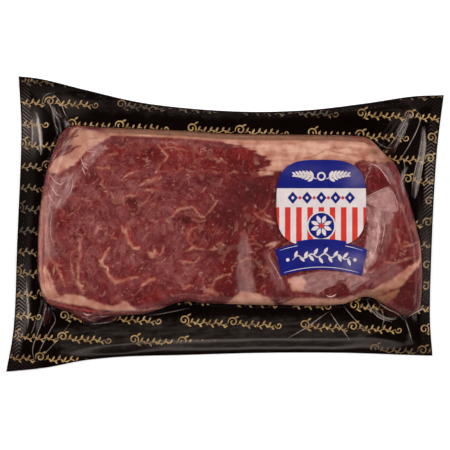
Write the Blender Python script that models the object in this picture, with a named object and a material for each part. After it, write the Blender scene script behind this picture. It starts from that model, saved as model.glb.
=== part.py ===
"""A raw boneless ribeye steak in a vacuum pack, lying on the pack's printed back.

Three solids: the back film with its wide sealed flange, the steak with the clear film drawn tight
over it, and the label stuck on top. All three are plates between a lower and an upper height over
a flat plan, so each height is a function of the place on the table.
Metres, +Z up. The origin is at the middle of the pack's footprint, on the table.
"""

import math

import bmesh
import bpy
import numpy as np

MM = 0.001

# Plan of the steak in mm: the places that its smooth outline passes through, side by side.
# Far is +Y. Near and far run from left to right, left and right from near to far.
STEAK_FAR = [(-84.5, 48.0), (-80.5, 50.8), (-63.5, 50.2), (-25.5, 48.7), (3.0, 46.8), (43.0, 46.4),
             (67.5, 45.8), (74.5, 44.6)]
STEAK_RIGHT = [(100.5, -45.5), (102.4, -35.9), (101.9, -13.0), (96.6, 9.0), (88.5, 31.0),
               (84.0, 35.5), (74.5, 44.6)]
STEAK_NEAR = [(-92.5, -41.0), (-80.5, -46.0), (-72.0, -51.0), (-60.0, -48.0), (-40.6, -46.3),
              (-22.0, -40.2), (-10.4, -41.1), (28.0, -42.1), (61.0, -41.6), (74.5, -37.8),
              (86.0, -44.0), (93.5, -47.8), (100.5, -45.5)]
STEAK_LEFT = [(-92.5, -41.0), (-96.6, -31.0), (-97.3, -13.0), (-96.0, 9.0), (-91.8, 30.4),
              (-84.5, 48.0)]

# Plan of the pack in mm. Its corners are sharp, and the vacuum draws its long edges in.
PACK_FAR = [(-107.8, 77.2), (-96.2, 75.8), (-73.3, 70.2), (-42.1, 63.2), (4.7, 58.9), (41.1, 59.4),
            (72.3, 62.9), (98.3, 66.7), (114.3, 67.4)]
PACK_RIGHT = [(108.4, -68.8), (107.1, -50.0), (107.6, -18.7), (110.5, 36.4), (114.3, 67.4)]
PACK_NEAR = [(-114.3, -77.2), (-94.1, -75.1), (-73.3, -71.2), (-52.5, -69.3), (-21.3, -68.4),
             (20.3, -67.3), (61.9, -67.3), (93.1, -68.3), (108.4, -68.8)]
PACK_LEFT = [(-114.3, -77.2), (-110.5, -55.1), (-108.4, -8.3), (-106.4, 48.9), (-107.8, 77.2)]

# The plan is a net of quads: close together along the steak's edge, wider over its middle.
STEAK_LENGTH = 195.0
STEAK_DEPTH = 93.0
EDGE_STEPS = [1.0, 3.0, 6.0, 9.5, 12.5]
MIDDLE_STEP = 5.5
FLANGE_RINGS = [0.0, 0.13, 0.3, 0.48, 0.64, 0.77, 0.89, 1.0]

FILM_THICKNESS = 0.4
TOUCH_GAP = 0.4

# Side view of the pack in mm. The back film lies flat under the steak, curls up round the steak's
# lower edge to the flange, and the flange dips again towards the table.
FLANGE_HEIGHT = 6.0
CURL_WIDTH = 12.5
LONG_EDGE_HEIGHT = 0.7
CORNER_HEIGHT = 1.0
SHORT_EDGE_HEIGHT = 3.2
# A short side stays high within the first distance from the middle line, and is at the corners'
# height past the second.
SHORT_EDGE_REACH = (22.0, 60.0)
# Along the middle of a long side the flange runs nearly level to a fold at this share of its width,
# and then turns down. The places between which that form fades in, from the left, to the right and
# from the middle line:
FOLD_AT = 0.62
FOLD_SAG = 0.8
LONG_SIDE_LEFT = (-95.0, -55.0)
LONG_SIDE_RIGHT = (78.0, 104.0)
LONG_SIDE_OUT = (36.0, 46.0)

# Where the clear film had room over a corner of the steak it collapsed into a standing fold.
# Each fold runs from its foot on the steak to its tip on the flange, in mm.
CORNER_FOLDS = [((-84.0, 48.0), (-89.0, 68.6)), ((82.0, 40.0), (96.2, 60.8)),
                ((96.0, -46.0), (97.2, -62.9)), ((-92.0, -41.0), (-99.3, -72.8))]
FOLD_HEIGHT = 2.8
FOLD_HALF_WIDTH = 4.5

# The steak in mm: its thickness, the upright part of its side, and how far the top edge rounds
# over. The far side slopes more gently than the near one.
STEAK_TOP = 17.0
SIDE_HEIGHT = 1.2
ROUND_FAR = 9.0
ROUND_NEAR = 5.5
ROUND_CHANGE = (-20.0, 35.0)

# Gentle swellings and hollows of the cut face: x, y, radius and height, in mm.
SWELLINGS = [(-50.0, 4.0, 40.0, 0.9), (-72.0, 43.0, 10.0, 0.7), (58.0, 2.0, 34.0, -0.3),
             (34.0, 35.0, 22.0, 0.5), (2.0, -33.0, 8.0, -1.3), (30.0, -38.0, 8.0, -1.0),
             (60.0, -34.0, 10.0, -1.2), (94.0, -36.0, 12.0, -1.6), (-20.0, -18.0, 16.0, 0.5),
             (84.0, 20.0, 12.0, -1.0), (-84.0, 36.0, 9.0, -0.7)]
# The seam between the two muscles is a shallow groove through these places.
SEAM = [(15.5, 38.5), (9.0, 14.0), (9.4, -13.5), (12.5, -39.5)]
SEAM_DEPTH = 0.9
SEAM_HALF_WIDTH = 5.0

# The label in mm: a rounded badge behind an arched banner, cut as one sticker. The badge is an
# ellipse with fuller corners, and the banner's ends lean in towards its lower edge.
LABEL_CENTRE = (49.9, 3.1)
LABEL_THICKNESS = 0.25
LABEL_GAP = 0.4
BADGE_MIDDLE = 7.8
BADGE_HALF_WIDTH = 23.2
BADGE_HALF_HEIGHT = 22.4
BADGE_FULLNESS = 3.2
BANNER_TOP = -12.0
BANNER_HEIGHT = 14.6
BANNER_RISE = 4.4
BANNER_TOP_HALF_WIDTH = 23.8
BANNER_LOW_HALF_WIDTH = 20.8
BADGE_PARTS = 44
BANNER_PARTS = 12
LABEL_CELL = 7.0


def material(name, colour, roughness):
    """One plain material with a base colour and a roughness."""
    made = bpy.data.materials.new(name)
    made.use_nodes = True
    shader = made.node_tree.nodes["Principled BSDF"]
    shader.inputs["Base Color"].default_value = (*colour, 1.0)
    shader.inputs["Roughness"].default_value = roughness
    shader.inputs["Metallic"].default_value = 0.0
    return made


def smooth_line(points, before=None, after=None, parts=10):
    """Many points on a smooth curve through a few; before and after steer its two ends."""
    places = [np.array(p, float) for p in points]
    ends = [2 * places[0] - places[1] if before is None else np.array(before, float)]
    ends.append(2 * places[-1] - places[-2] if after is None else np.array(after, float))
    chain = [ends[0], *places, ends[1]]
    gaps = [math.sqrt(np.linalg.norm(b - a)) for a, b in zip(chain, chain[1:])]
    slopes = []
    for i in range(1, len(chain) - 1):
        back = (chain[i] - chain[i - 1]) / gaps[i - 1]
        ahead = (chain[i + 1] - chain[i]) / gaps[i]
        slopes.append((back * gaps[i] + ahead * gaps[i - 1]) / (gaps[i] + gaps[i - 1]))
    line = [places[0]]
    for i in range(len(places) - 1):
        span = gaps[i + 1]
        for k in range(1, parts + 1):
            t = k / parts
            line.append((2 * t**3 - 3 * t**2 + 1) * places[i] + (t**3 - 2 * t**2 + t) * span * slopes[i]
                        + (3 * t**2 - 2 * t**3) * places[i + 1] + (t**3 - t**2) * span * slopes[i + 1])
    return np.array(line)


def along(line, shares):
    """The points at the given shares of a line's length."""
    steps = np.linalg.norm(np.diff(line, axis=0), axis=1)
    travelled = np.concatenate([[0.0], np.cumsum(steps)])
    at = np.array(shares) * travelled[-1]
    return np.stack([np.interp(at, travelled, line[:, 0]), np.interp(at, travelled, line[:, 1])], axis=1)


def steak_sides():
    """The steak's four sides, near, right, far and left, as one smooth closed outline."""
    near = smooth_line(STEAK_NEAR, STEAK_LEFT[1], STEAK_RIGHT[1])
    right = smooth_line(STEAK_RIGHT, STEAK_NEAR[-2], STEAK_FAR[-2])
    far = smooth_line(STEAK_FAR, STEAK_LEFT[-2], STEAK_RIGHT[-2])
    left = smooth_line(STEAK_LEFT, STEAK_NEAR[1], STEAK_FAR[1])
    return near, right, far, left


def pack_sides():
    """The pack's four sides in the same order, with sharp corners between them."""
    return tuple(smooth_line(side) for side in (PACK_NEAR, PACK_RIGHT, PACK_FAR, PACK_LEFT))


def graded(length):
    """Shares of a length, close together at both ends and even in the middle."""
    middle = length - 2 * EDGE_STEPS[-1]
    count = round(middle / MIDDLE_STEP)
    inner = [EDGE_STEPS[-1] + middle * i / count for i in range(1, count)]
    distances = [0.0, *EDGE_STEPS, *inner, *[length - d for d in reversed(EDGE_STEPS)], length]
    return np.array(distances) / length


def net_between(sides, across, deep):
    """A net of points spread between four sides: point [i][j] is at share i across and j deep."""
    near, far = along(sides[0], across), along(sides[2], across)
    left, right = along(sides[3], deep), along(sides[1], deep)
    u, v = across[:, None, None], deep[None, :, None]
    ruled = (1 - v) * near[:, None] + v * far[:, None] + (1 - u) * left[None] + u * right[None]
    corners = ((1 - u) * (1 - v) * near[0] + u * (1 - v) * near[-1]
               + (1 - u) * v * far[0] + u * v * far[-1])
    return ruled - corners


def loop_round(sides, across, deep):
    """The points round four sides in order, each corner once, starting at the near left one."""
    near, far = along(sides[0], across), along(sides[2], across)
    left, right = along(sides[3], deep), along(sides[1], deep)
    return np.concatenate([near[:-1], right[:-1], far[:0:-1], left[:0:-1]])


def outline_distance(points, outline):
    """The distance of each point from a closed outline, positive inside it."""
    starts, ends = outline, np.roll(outline, -1, axis=0)
    spans = ends - starts
    offsets = points[:, None] - starts[None]
    share = np.clip((offsets * spans).sum(2) / (spans**2).sum(1), 0, 1)
    nearest = np.linalg.norm(offsets - share[..., None] * spans, axis=2).min(1)
    above = (starts[None, :, 1] > points[:, None, 1]) != (ends[None, :, 1] > points[:, None, 1])
    rise = np.where(spans[:, 1] == 0, 1.0, spans[:, 1])
    crossing = starts[:, 0] + (points[:, None, 1] - starts[:, 1]) * spans[:, 0] / rise
    inside = (above & (points[:, None, 0] < crossing)).sum(1) % 2 == 1
    return np.where(inside, nearest, -nearest)


def line_distance(points, line):
    """The distance of each point from an open line, and how far along the line it lies, 0 to 1."""
    line = np.array(line, float)
    spans = line[1:] - line[:-1]
    offsets = points[:, None] - line[None, :-1]
    share = np.clip((offsets * spans).sum(2) / (spans**2).sum(1), 0, 1)
    distance = np.linalg.norm(offsets - share[..., None] * spans, axis=2)
    nearest = distance.argmin(1)
    row = np.arange(len(points))
    return distance[row, nearest], (nearest + share[row, nearest]) / len(spans)


def ease(value, start, end):
    """0 up to start, 1 from end, and a smooth step between them."""
    t = np.clip((value - start) / (end - start), 0, 1)
    return t * t * (3 - 2 * t)


def hump(distance, half_width):
    """1 on a line, falling smoothly to 0 at the half width."""
    return np.cos(np.clip(distance / half_width, 0, 1) * math.pi / 2) ** 2


def folds_height(points):
    """How far the four standing corner folds lift the film."""
    height = np.zeros(len(points))
    for foot, tip in CORNER_FOLDS:
        distance, share = line_distance(points, [foot, tip])
        height = np.maximum(height, FOLD_HEIGHT * hump(distance, FOLD_HALF_WIDTH) * (1 - share**2))
    return height


def film_height(points, inside, share):
    """The underside of the back film; share goes from 0 at the steak to 1 at the pack's edge."""
    curl = FLANGE_HEIGHT * np.clip(1 - inside / CURL_WIDTH, 0, 1) ** 2
    x, y = points[:, 0], points[:, 1]
    edge = SHORT_EDGE_HEIGHT + (CORNER_HEIGHT - SHORT_EDGE_HEIGHT) * ease(np.abs(y), *SHORT_EDGE_REACH)
    sloping = FLANGE_HEIGHT + (edge - FLANGE_HEIGHT) * ease(share, 0, 1)
    drop = FLANGE_HEIGHT - FOLD_SAG - LONG_EDGE_HEIGHT
    folded = FLANGE_HEIGHT - FOLD_SAG * np.minimum(share / FOLD_AT, 1) - drop * ease(share, FOLD_AT, 1)
    long_side = ease(x, *LONG_SIDE_LEFT) * (1 - ease(x, *LONG_SIDE_RIGHT)) * ease(np.abs(y), *LONG_SIDE_OUT)
    flange = sloping + (folded - sloping) * long_side
    return np.where(share > 0, flange + folds_height(points), curl)


def steak_top(points, inside):
    """The top of the steak: a rounded edge, then the gently uneven cut face."""
    face = np.full(len(points), STEAK_TOP)
    for x, y, radius, height in SWELLINGS:
        face += height * np.exp(-((points[:, 0] - x) ** 2 + (points[:, 1] - y) ** 2) / radius**2)
    face -= SEAM_DEPTH * hump(line_distance(points, SEAM)[0], SEAM_HALF_WIDTH)
    rim = FLANGE_HEIGHT + FILM_THICKNESS + TOUCH_GAP + SIDE_HEIGHT
    reach = ROUND_NEAR + (ROUND_FAR - ROUND_NEAR) * ease(points[:, 1], *ROUND_CHANGE)
    inward = np.clip(inside / reach, 0, 1)
    return rim + (face - rim) * np.sqrt(1 - (1 - inward) ** 2)


def plate(name, plan, faces, lower, upper, look):
    """A closed solid over a plan, between a lower and an upper height for each of its points.

    Both skins are split into triangles alike, so that two plates one gap apart never meet.
    """
    mesh = bmesh.new()
    faces = [[face[0], face[k], face[k + 1]] for face in faces for k in range(1, len(face) - 1)]
    skins = [[mesh.verts.new((*place * MM, z * MM)) for place, z in zip(plan, heights)]
             for heights in (lower, upper)]
    for face in faces:
        mesh.faces.new([skins[0][i] for i in reversed(face)])
        mesh.faces.new([skins[1][i] for i in face])
    pairs = {(a, b) for face in faces for a, b in zip(face, face[1:] + face[:1])}
    for a, b in sorted(pairs):
        if (b, a) not in pairs:
            mesh.faces.new([skins[0][a], skins[0][b], skins[1][b], skins[1][a]])
    made = bpy.data.meshes.new(name)
    mesh.to_mesh(made)
    mesh.free()
    made.shade_smooth()
    made.set_sharp_from_angle(angle=math.radians(40))
    made.materials.append(look)
    solid = bpy.data.objects.new(name, made)
    bpy.context.scene.collection.objects.link(solid)
    return solid


def steak_plan():
    """The net over the steak, its quads, and the numbers of its border points in order."""
    sides = steak_sides()
    across, deep = graded(STEAK_LENGTH), graded(STEAK_DEPTH)
    net = net_between(sides, across, deep)
    number = np.arange(net.shape[0] * net.shape[1]).reshape(net.shape[:2])
    faces = [[int(n) for n in (number[i, j], number[i + 1, j], number[i + 1, j + 1], number[i, j + 1])]
             for i in range(net.shape[0] - 1) for j in range(net.shape[1] - 1)]
    border = [*number[:-1, 0], *number[-1, :-1], *number[:0:-1, -1], *number[0, :0:-1]]
    return net.reshape(-1, 2), faces, [int(n) for n in border], across, deep


def film_plan(inner, inner_faces, border, across, deep):
    """The steak's net with rings of quads added out to the pack's edge, and each point's share."""
    edge = loop_round(pack_sides(), across, deep)
    plan, shares = [inner], [np.zeros(len(inner))]
    faces, last = list(inner_faces), border
    count = len(inner)
    for share in FLANGE_RINGS[1:]:
        plan.append(inner[border] * (1 - share) + edge * share)
        shares.append(np.full(len(edge), share))
        ring = list(range(count, count + len(edge)))
        count += len(edge)
        for k in range(len(ring)):
            following = (k + 1) % len(ring)
            faces.append([last[k], ring[k], ring[following], last[following]])
        last = ring
    return np.concatenate(plan), faces, np.concatenate(shares)


def banner_edge(x, top):
    """The height of the banner's arched upper edge at x, measured down from its top."""
    return top - BANNER_RISE * (x / BANNER_TOP_HALF_WIDTH) ** 2


def label_outline():
    """The sticker's outline, anticlockwise: the badge down to the banner, then round the banner."""
    badge = []
    for turn in np.linspace(-math.pi / 2, 1.5 * math.pi, BADGE_PARTS, endpoint=False):
        side, rise = math.cos(turn), math.sin(turn)
        x = BADGE_HALF_WIDTH * math.copysign(abs(side) ** (2 / BADGE_FULLNESS), side)
        y = BADGE_MIDDLE + BADGE_HALF_HEIGHT * math.copysign(abs(rise) ** (2 / BADGE_FULLNESS), rise)
        if y > banner_edge(x, BANNER_TOP):
            badge.append((x, y))
    foot = badge[0][0]
    out = np.linspace(foot, BANNER_TOP_HALF_WIDTH, 4)
    left = [(-x, banner_edge(x, BANNER_TOP)) for x in out]
    low = [(x, banner_edge(x, BANNER_TOP - BANNER_HEIGHT))
           for x in np.linspace(-BANNER_LOW_HALF_WIDTH, BANNER_LOW_HALF_WIDTH, BANNER_PARTS)]
    right = [(x, banner_edge(x, BANNER_TOP)) for x in reversed(out)]
    return np.array([*badge, *left, *low, *right]) + np.array(LABEL_CENTRE)


def label_plan():
    """The sticker's outline cut into cells small enough to follow the meat, as points and faces."""
    outline = label_outline()
    mesh = bmesh.new()
    mesh.faces.new([mesh.verts.new((*place, 0)) for place in outline])
    low, high = outline.min(0), outline.max(0)
    for axis, normal in ((0, (1, 0, 0)), (1, (0, 1, 0))):
        for cut in np.arange(low[axis] + LABEL_CELL, high[axis], LABEL_CELL):
            place = (float(cut), 0, 0) if axis == 0 else (0, float(cut), 0)
            everything = [*mesh.verts, *mesh.edges, *mesh.faces]
            bmesh.ops.bisect_plane(mesh, geom=everything, plane_co=place, plane_no=normal, dist=1e-4)
    bmesh.ops.triangulate(mesh, faces=mesh.faces[:])
    mesh.verts.index_update()
    plan = np.array([vert.co[:2] for vert in mesh.verts])
    faces = [[vert.index for vert in face.verts] for face in mesh.faces]
    mesh.free()
    return plan, faces


def main():
    for old in list(bpy.data.objects):
        bpy.data.objects.remove(old)
    black_film = material("printed_black_film", (0.012, 0.009, 0.008), 0.25)
    meat = material("meat_under_clear_film", (0.21, 0.05, 0.045), 0.2)
    paper = material("glossy_label_paper", (0.03, 0.04, 0.28), 0.35)

    inner, inner_faces, border, across, deep = steak_plan()
    outline = inner[border]
    inside = outline_distance(inner, outline)
    plan, faces, share = film_plan(inner, inner_faces, border, across, deep)
    under = film_height(plan, np.concatenate([inside, np.zeros(len(plan) - len(inner))]), share)
    plate("back_film", plan, faces, under, under + FILM_THICKNESS, black_film)

    belly = under[:len(inner)] + FILM_THICKNESS + TOUCH_GAP
    plate("steak", inner, inner_faces, belly, steak_top(inner, inside), meat)

    sticker, sticker_faces = label_plan()
    lying = steak_top(sticker, outline_distance(sticker, outline)) + LABEL_GAP
    plate("label", sticker, sticker_faces, lying, lying + LABEL_THICKNESS, paper)


main()
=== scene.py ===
"""The looks of a raw ribeye steak in a vacuum pack.

A black printed back film with its wide flange, the marbled meat, a little dark juice, the clear
film drawn over it all with its corner folds and wrinkles, and a glossy label on top.
Shapes are worked out in millimetres and turned into metres when a mesh is made. Places on the
flat face are given as pixels of the photograph's frame, x then y, which photo() turns into mm.
Soft spots are rows of x, y, half width and half height in the same pixels, and an amount.
"""

import math

import bmesh
import bpy
import numpy as np
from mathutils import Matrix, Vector
from mathutils.bvhtree import BVHTree


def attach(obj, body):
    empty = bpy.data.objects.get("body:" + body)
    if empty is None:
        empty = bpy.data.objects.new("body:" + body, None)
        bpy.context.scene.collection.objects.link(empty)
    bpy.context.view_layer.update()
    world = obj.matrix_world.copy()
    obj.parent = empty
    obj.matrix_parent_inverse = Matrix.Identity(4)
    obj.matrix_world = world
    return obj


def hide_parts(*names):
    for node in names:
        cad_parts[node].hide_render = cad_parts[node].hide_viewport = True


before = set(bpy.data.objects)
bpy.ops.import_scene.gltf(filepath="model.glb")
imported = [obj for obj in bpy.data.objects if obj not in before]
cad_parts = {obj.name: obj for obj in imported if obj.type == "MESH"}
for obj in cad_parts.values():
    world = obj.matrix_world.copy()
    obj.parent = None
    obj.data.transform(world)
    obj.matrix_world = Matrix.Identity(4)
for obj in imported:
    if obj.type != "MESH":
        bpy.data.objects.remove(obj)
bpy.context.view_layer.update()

MM = 0.001
PIXEL = 0.52
PHOTO_SIZE = 450
PHOTO_MIDDLE = (225.0, 224.0)

# The solid model's own outlines, in mm: near and far run left to right, the others near to far.
STEAK_FAR = [(-84.5, 48.0), (-80.5, 50.8), (-63.5, 50.2), (-25.5, 48.7), (3.0, 46.8), (43.0, 46.4),
             (67.5, 45.8), (74.5, 44.6)]
STEAK_RIGHT = [(100.5, -45.5), (102.4, -35.9), (101.9, -13.0), (96.6, 9.0), (88.5, 31.0),
               (84.0, 35.5), (74.5, 44.6)]
STEAK_NEAR = [(-92.5, -41.0), (-80.5, -46.0), (-72.0, -51.0), (-60.0, -48.0), (-40.6, -46.3),
              (-22.0, -40.2), (-10.4, -41.1), (28.0, -42.1), (61.0, -41.6), (74.5, -37.8),
              (86.0, -44.0), (93.5, -47.8), (100.5, -45.5)]
STEAK_LEFT = [(-92.5, -41.0), (-96.6, -31.0), (-97.3, -13.0), (-96.0, 9.0), (-91.8, 30.4),
              (-84.5, 48.0)]
PACK_FAR = [(-107.8, 77.2), (-96.2, 75.8), (-73.3, 70.2), (-42.1, 63.2), (4.7, 58.9), (41.1, 59.4),
            (72.3, 62.9), (98.3, 66.7), (114.3, 67.4)]
PACK_RIGHT = [(108.4, -68.8), (107.1, -50.0), (107.6, -18.7), (110.5, 36.4), (114.3, 67.4)]
PACK_NEAR = [(-114.3, -77.2), (-94.1, -75.1), (-73.3, -71.2), (-52.5, -69.3), (-21.3, -68.4),
             (20.3, -67.3), (61.9, -67.3), (93.1, -68.3), (108.4, -68.8)]
PACK_LEFT = [(-114.3, -77.2), (-110.5, -55.1), (-108.4, -8.3), (-106.4, 48.9), (-107.8, 77.2)]
STEAK_LENGTH = 195.0
STEAK_DEPTH = 93.0
# Distances from the steak's outline are measured from every fourth of its points.
OUTLINE_STEP = 4

# The solid model's heights, in mm.
FILM_THICKNESS = 0.4
TOUCH_GAP = 0.4
FLANGE_HEIGHT = 6.0
CURL_WIDTH = 12.5
LONG_EDGE_HEIGHT = 0.7
CORNER_HEIGHT = 1.0
SHORT_EDGE_HEIGHT = 3.2
SHORT_EDGE_REACH = (22.0, 60.0)
FOLD_AT = 0.62
FOLD_SAG = 0.8
LONG_SIDE_LEFT = (-95.0, -55.0)
LONG_SIDE_RIGHT = (78.0, 104.0)
LONG_SIDE_OUT = (36.0, 46.0)
CORNER_FOLDS = [((-84.0, 48.0), (-89.0, 68.6)), ((82.0, 40.0), (96.2, 60.8)),
                ((96.0, -46.0), (97.2, -62.9)), ((-92.0, -41.0), (-99.3, -72.8))]
FOLD_HEIGHT = 2.8
FOLD_HALF_WIDTH = 4.5
STEAK_TOP = 17.0
SIDE_HEIGHT = 1.2
ROUND_FAR = 9.0
ROUND_NEAR = 5.5
ROUND_CHANGE = (-20.0, 35.0)
SWELLINGS = [(-50.0, 4.0, 40.0, 0.9), (-72.0, 43.0, 10.0, 0.7), (58.0, 2.0, 34.0, -0.3),
             (34.0, 35.0, 22.0, 0.5), (2.0, -33.0, 8.0, -1.3), (30.0, -38.0, 8.0, -1.0),
             (60.0, -34.0, 10.0, -1.2), (94.0, -36.0, 12.0, -1.6), (-20.0, -18.0, 16.0, 0.5),
             (84.0, 20.0, 12.0, -1.0), (-84.0, 36.0, 9.0, -0.7)]
SEAM = [(15.5, 38.5), (9.0, 14.0), (9.4, -13.5), (12.5, -39.5)]
SEAM_DEPTH = 0.9
SEAM_HALF_WIDTH = 5.0

# How bright the studio light leaves a white surface; photo colours are divided by it.
LIGHT_LEVEL = 1.15


def photo(*pixels):
    """Pixels of the photograph, x and y by turns, as points in mm on the flat face."""
    places = zip(pixels[::2], pixels[1::2])
    return [((x - PHOTO_MIDDLE[0]) * PIXEL, (PHOTO_MIDDLE[1] - y) * PIXEL) for x, y in places]


def tint(red, green, blue, level=LIGHT_LEVEL):
    """A colour seen in the photograph, 0 to 255, as the colour of the surface in linear light."""
    seen = [c / 255 for c in (red, green, blue)]
    linear = [c / 12.92 if c < 0.04045 else ((c + 0.055) / 1.055) ** 2.4 for c in seen]
    return (*[c / level for c in linear], 1.0)


# Smooth lines and nets

FAR_AWAY = 1e9


def smooth_line(points, before=None, after=None, parts=10):
    """Many points on a smooth curve through a few; before and after steer its two ends."""
    places = [np.array(p, float) for p in points]
    ends = [2 * places[0] - places[1] if before is None else np.array(before, float)]
    ends.append(2 * places[-1] - places[-2] if after is None else np.array(after, float))
    chain = [ends[0], *places, ends[1]]
    gaps = [math.sqrt(np.linalg.norm(b - a)) for a, b in zip(chain, chain[1:])]
    slopes = []
    for i in range(1, len(chain) - 1):
        back = (chain[i] - chain[i - 1]) / gaps[i - 1]
        ahead = (chain[i + 1] - chain[i]) / gaps[i]
        slopes.append((back * gaps[i] + ahead * gaps[i - 1]) / (gaps[i] + gaps[i - 1]))
    line = [places[0]]
    for i in range(len(places) - 1):
        span = gaps[i + 1]
        for k in range(1, parts + 1):
            t = k / parts
            line.append((2 * t**3 - 3 * t**2 + 1) * places[i]
                        + (t**3 - 2 * t**2 + t) * span * slopes[i]
                        + (3 * t**2 - 2 * t**3) * places[i + 1]
                        + (t**3 - t**2) * span * slopes[i + 1])
    return np.array(line)


def along(line, shares):
    """The points at the given shares of a line's length."""
    steps = np.linalg.norm(np.diff(line, axis=0), axis=1)
    travelled = np.concatenate([[0.0], np.cumsum(steps)])
    at = np.array(shares) * travelled[-1]
    return np.stack([np.interp(at, travelled, line[:, 0]), np.interp(at, travelled, line[:, 1])], axis=1)


def steak_sides():
    """The steak's four sides, near, right, far and left, as one smooth closed outline."""
    near = smooth_line(STEAK_NEAR, STEAK_LEFT[1], STEAK_RIGHT[1])
    right = smooth_line(STEAK_RIGHT, STEAK_NEAR[-2], STEAK_FAR[-2])
    far = smooth_line(STEAK_FAR, STEAK_LEFT[-2], STEAK_RIGHT[-2])
    left = smooth_line(STEAK_LEFT, STEAK_NEAR[1], STEAK_FAR[1])
    return near, right, far, left


def pack_sides():
    """The pack's four sides in the same order, with sharp corners between them."""
    return tuple(smooth_line(side) for side in (PACK_NEAR, PACK_RIGHT, PACK_FAR, PACK_LEFT))


def patch(sides, u, v):
    """Points spread between four sides, at shares u across and v deep."""
    near, far = along(sides[0], u), along(sides[2], u)
    left, right = along(sides[3], v), along(sides[1], v)
    u, v = u[:, None], v[:, None]
    ruled = (1 - v) * near + v * far + (1 - u) * left + u * right
    corners = ((1 - u) * (1 - v) * sides[0][0] + u * (1 - v) * sides[0][-1]
               + (1 - u) * v * sides[2][0] + u * v * sides[2][-1])
    return ruled - corners


def graded(length, edge_steps, middle_step):
    """Shares of a length, close together at both ends and even in the middle."""
    middle = length - 2 * edge_steps[-1]
    count = round(middle / middle_step)
    inner = [edge_steps[-1] + middle * i / count for i in range(1, count)]
    last = [length - step for step in reversed(edge_steps)]
    return np.array([0.0, *edge_steps, *inner, *last, length]) / length


def loop_shares(across, deep, inset):
    """The shares u and v of a closed loop an inset in mm inside the steak's outline."""
    side, depth = inset / STEAK_LENGTH, inset / STEAK_DEPTH
    u, v = side + across * (1 - 2 * side), depth + deep * (1 - 2 * depth)
    count_u, count_v = len(across) - 1, len(deep) - 1
    loop_u = np.concatenate([u[:-1], np.full(count_v, u[-1]), u[:0:-1], np.full(count_v, u[0])])
    loop_v = np.concatenate([np.full(count_u, v[0]), v[:-1], np.full(count_u, v[-1]), v[:0:-1]])
    return loop_u, loop_v


def loop_of(sides):
    """Four sides joined to one closed outline, running round it."""
    near, right, far, left = sides
    return np.concatenate([near[:-1], right[:-1], far[:0:-1], left[:0:-1]])


def stretch_distance(x, y, start, end):
    """The distance of each place from a straight stretch, and how far along it is the nearest spot."""
    (ax, ay), (bx, by) = start, end
    dx, dy = bx - ax, by - ay
    share = np.clip(((x - ax) * dx + (y - ay) * dy) / max(dx * dx + dy * dy, 1e-12), 0, 1)
    return np.hypot(x - ax - share * dx, y - ay - share * dy), share


def outline_distance(points, outline):
    """The distance of each point from a closed outline, positive inside it."""
    outline = np.array(outline, float)
    nearest = np.full(len(points), FAR_AWAY)
    crossings = np.zeros(len(points), int)
    x, y = points[:, 0], points[:, 1]
    for start, end in zip(outline, np.roll(outline, -1, axis=0)):
        nearest = np.minimum(nearest, stretch_distance(x, y, start, end)[0])
        (ax, ay), (bx, by) = start, end
        if ay != by:
            crossings += ((ay > y) != (by > y)) & (x < ax + (y - ay) * (bx - ax) / (by - ay))
    return np.where(crossings % 2 == 1, nearest, -nearest)


def line_distance(points, line):
    """The distance of each point from an open line, and how far along the line it lies, 0 to 1."""
    line = np.array(line, float)
    best, share = np.full(len(points), FAR_AWAY), np.zeros(len(points))
    for i, (start, end) in enumerate(zip(line[:-1], line[1:])):
        distance, part = stretch_distance(points[:, 0], points[:, 1], start, end)
        nearer = distance < best
        best = np.where(nearer, distance, best)
        share = np.where(nearer, (i + part) / (len(line) - 1), share)
    return best, share


def ease(value, start, end):
    """0 up to start, 1 from end, and a smooth step between them."""
    t = np.clip((value - start) / (end - start), 0, 1)
    return t * t * (3 - 2 * t)


def hump(distance, half_width):
    """1 on a line, falling smoothly to 0 at the half width."""
    return np.cos(np.clip(distance / half_width, 0, 1) * math.pi / 2) ** 2


def noise(x, y, size, seed, octaves=1):
    """Smooth gradient noise, about -1 to 1, with features of the given size in mm."""
    total, weight = np.zeros(len(x)), 1.0
    for octave in range(octaves):
        turns = np.random.default_rng(seed + octave).uniform(0, 2 * math.pi, (128, 128))
        u = (0.8 * x - 0.6 * y) * 2**octave / size + 40.5
        v = (0.6 * x + 0.8 * y) * 2**octave / size + 40.5
        i, j = np.floor(u).astype(int), np.floor(v).astype(int)
        a, b = u - i, v - j

        def pull(p, q):
            turn = turns[(i + p) % 128, (j + q) % 128]
            return np.cos(turn) * (a - p) + np.sin(turn) * (b - q)

        s, t = a * a * (3 - 2 * a), b * b * (3 - 2 * b)
        low = pull(0, 0) * (1 - s) + pull(1, 0) * s
        high = pull(0, 1) * (1 - s) + pull(1, 1) * s
        total += weight * 1.5 * (low * (1 - t) + high * t)
        weight *= 0.5
    return total


# Heights of the solid model

def film_height(points, inside, share):
    """The underside of the back film; share goes from 0 at the steak to 1 at the pack's edge."""
    curl = FLANGE_HEIGHT * np.clip(1 - inside / CURL_WIDTH, 0, 1) ** 2
    x, y = points[:, 0], points[:, 1]
    edge = SHORT_EDGE_HEIGHT + (CORNER_HEIGHT - SHORT_EDGE_HEIGHT) * ease(np.abs(y), *SHORT_EDGE_REACH)
    sloping = FLANGE_HEIGHT + (edge - FLANGE_HEIGHT) * ease(share, 0, 1)
    drop = FLANGE_HEIGHT - FOLD_SAG - LONG_EDGE_HEIGHT
    folded = FLANGE_HEIGHT - FOLD_SAG * np.minimum(share / FOLD_AT, 1) - drop * ease(share, FOLD_AT, 1)
    long_side = ease(x, *LONG_SIDE_LEFT) * (1 - ease(x, *LONG_SIDE_RIGHT)) * ease(np.abs(y), *LONG_SIDE_OUT)
    flange = sloping + (folded - sloping) * long_side
    return np.where(share > 0, flange + folds_height(points), curl)


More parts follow.
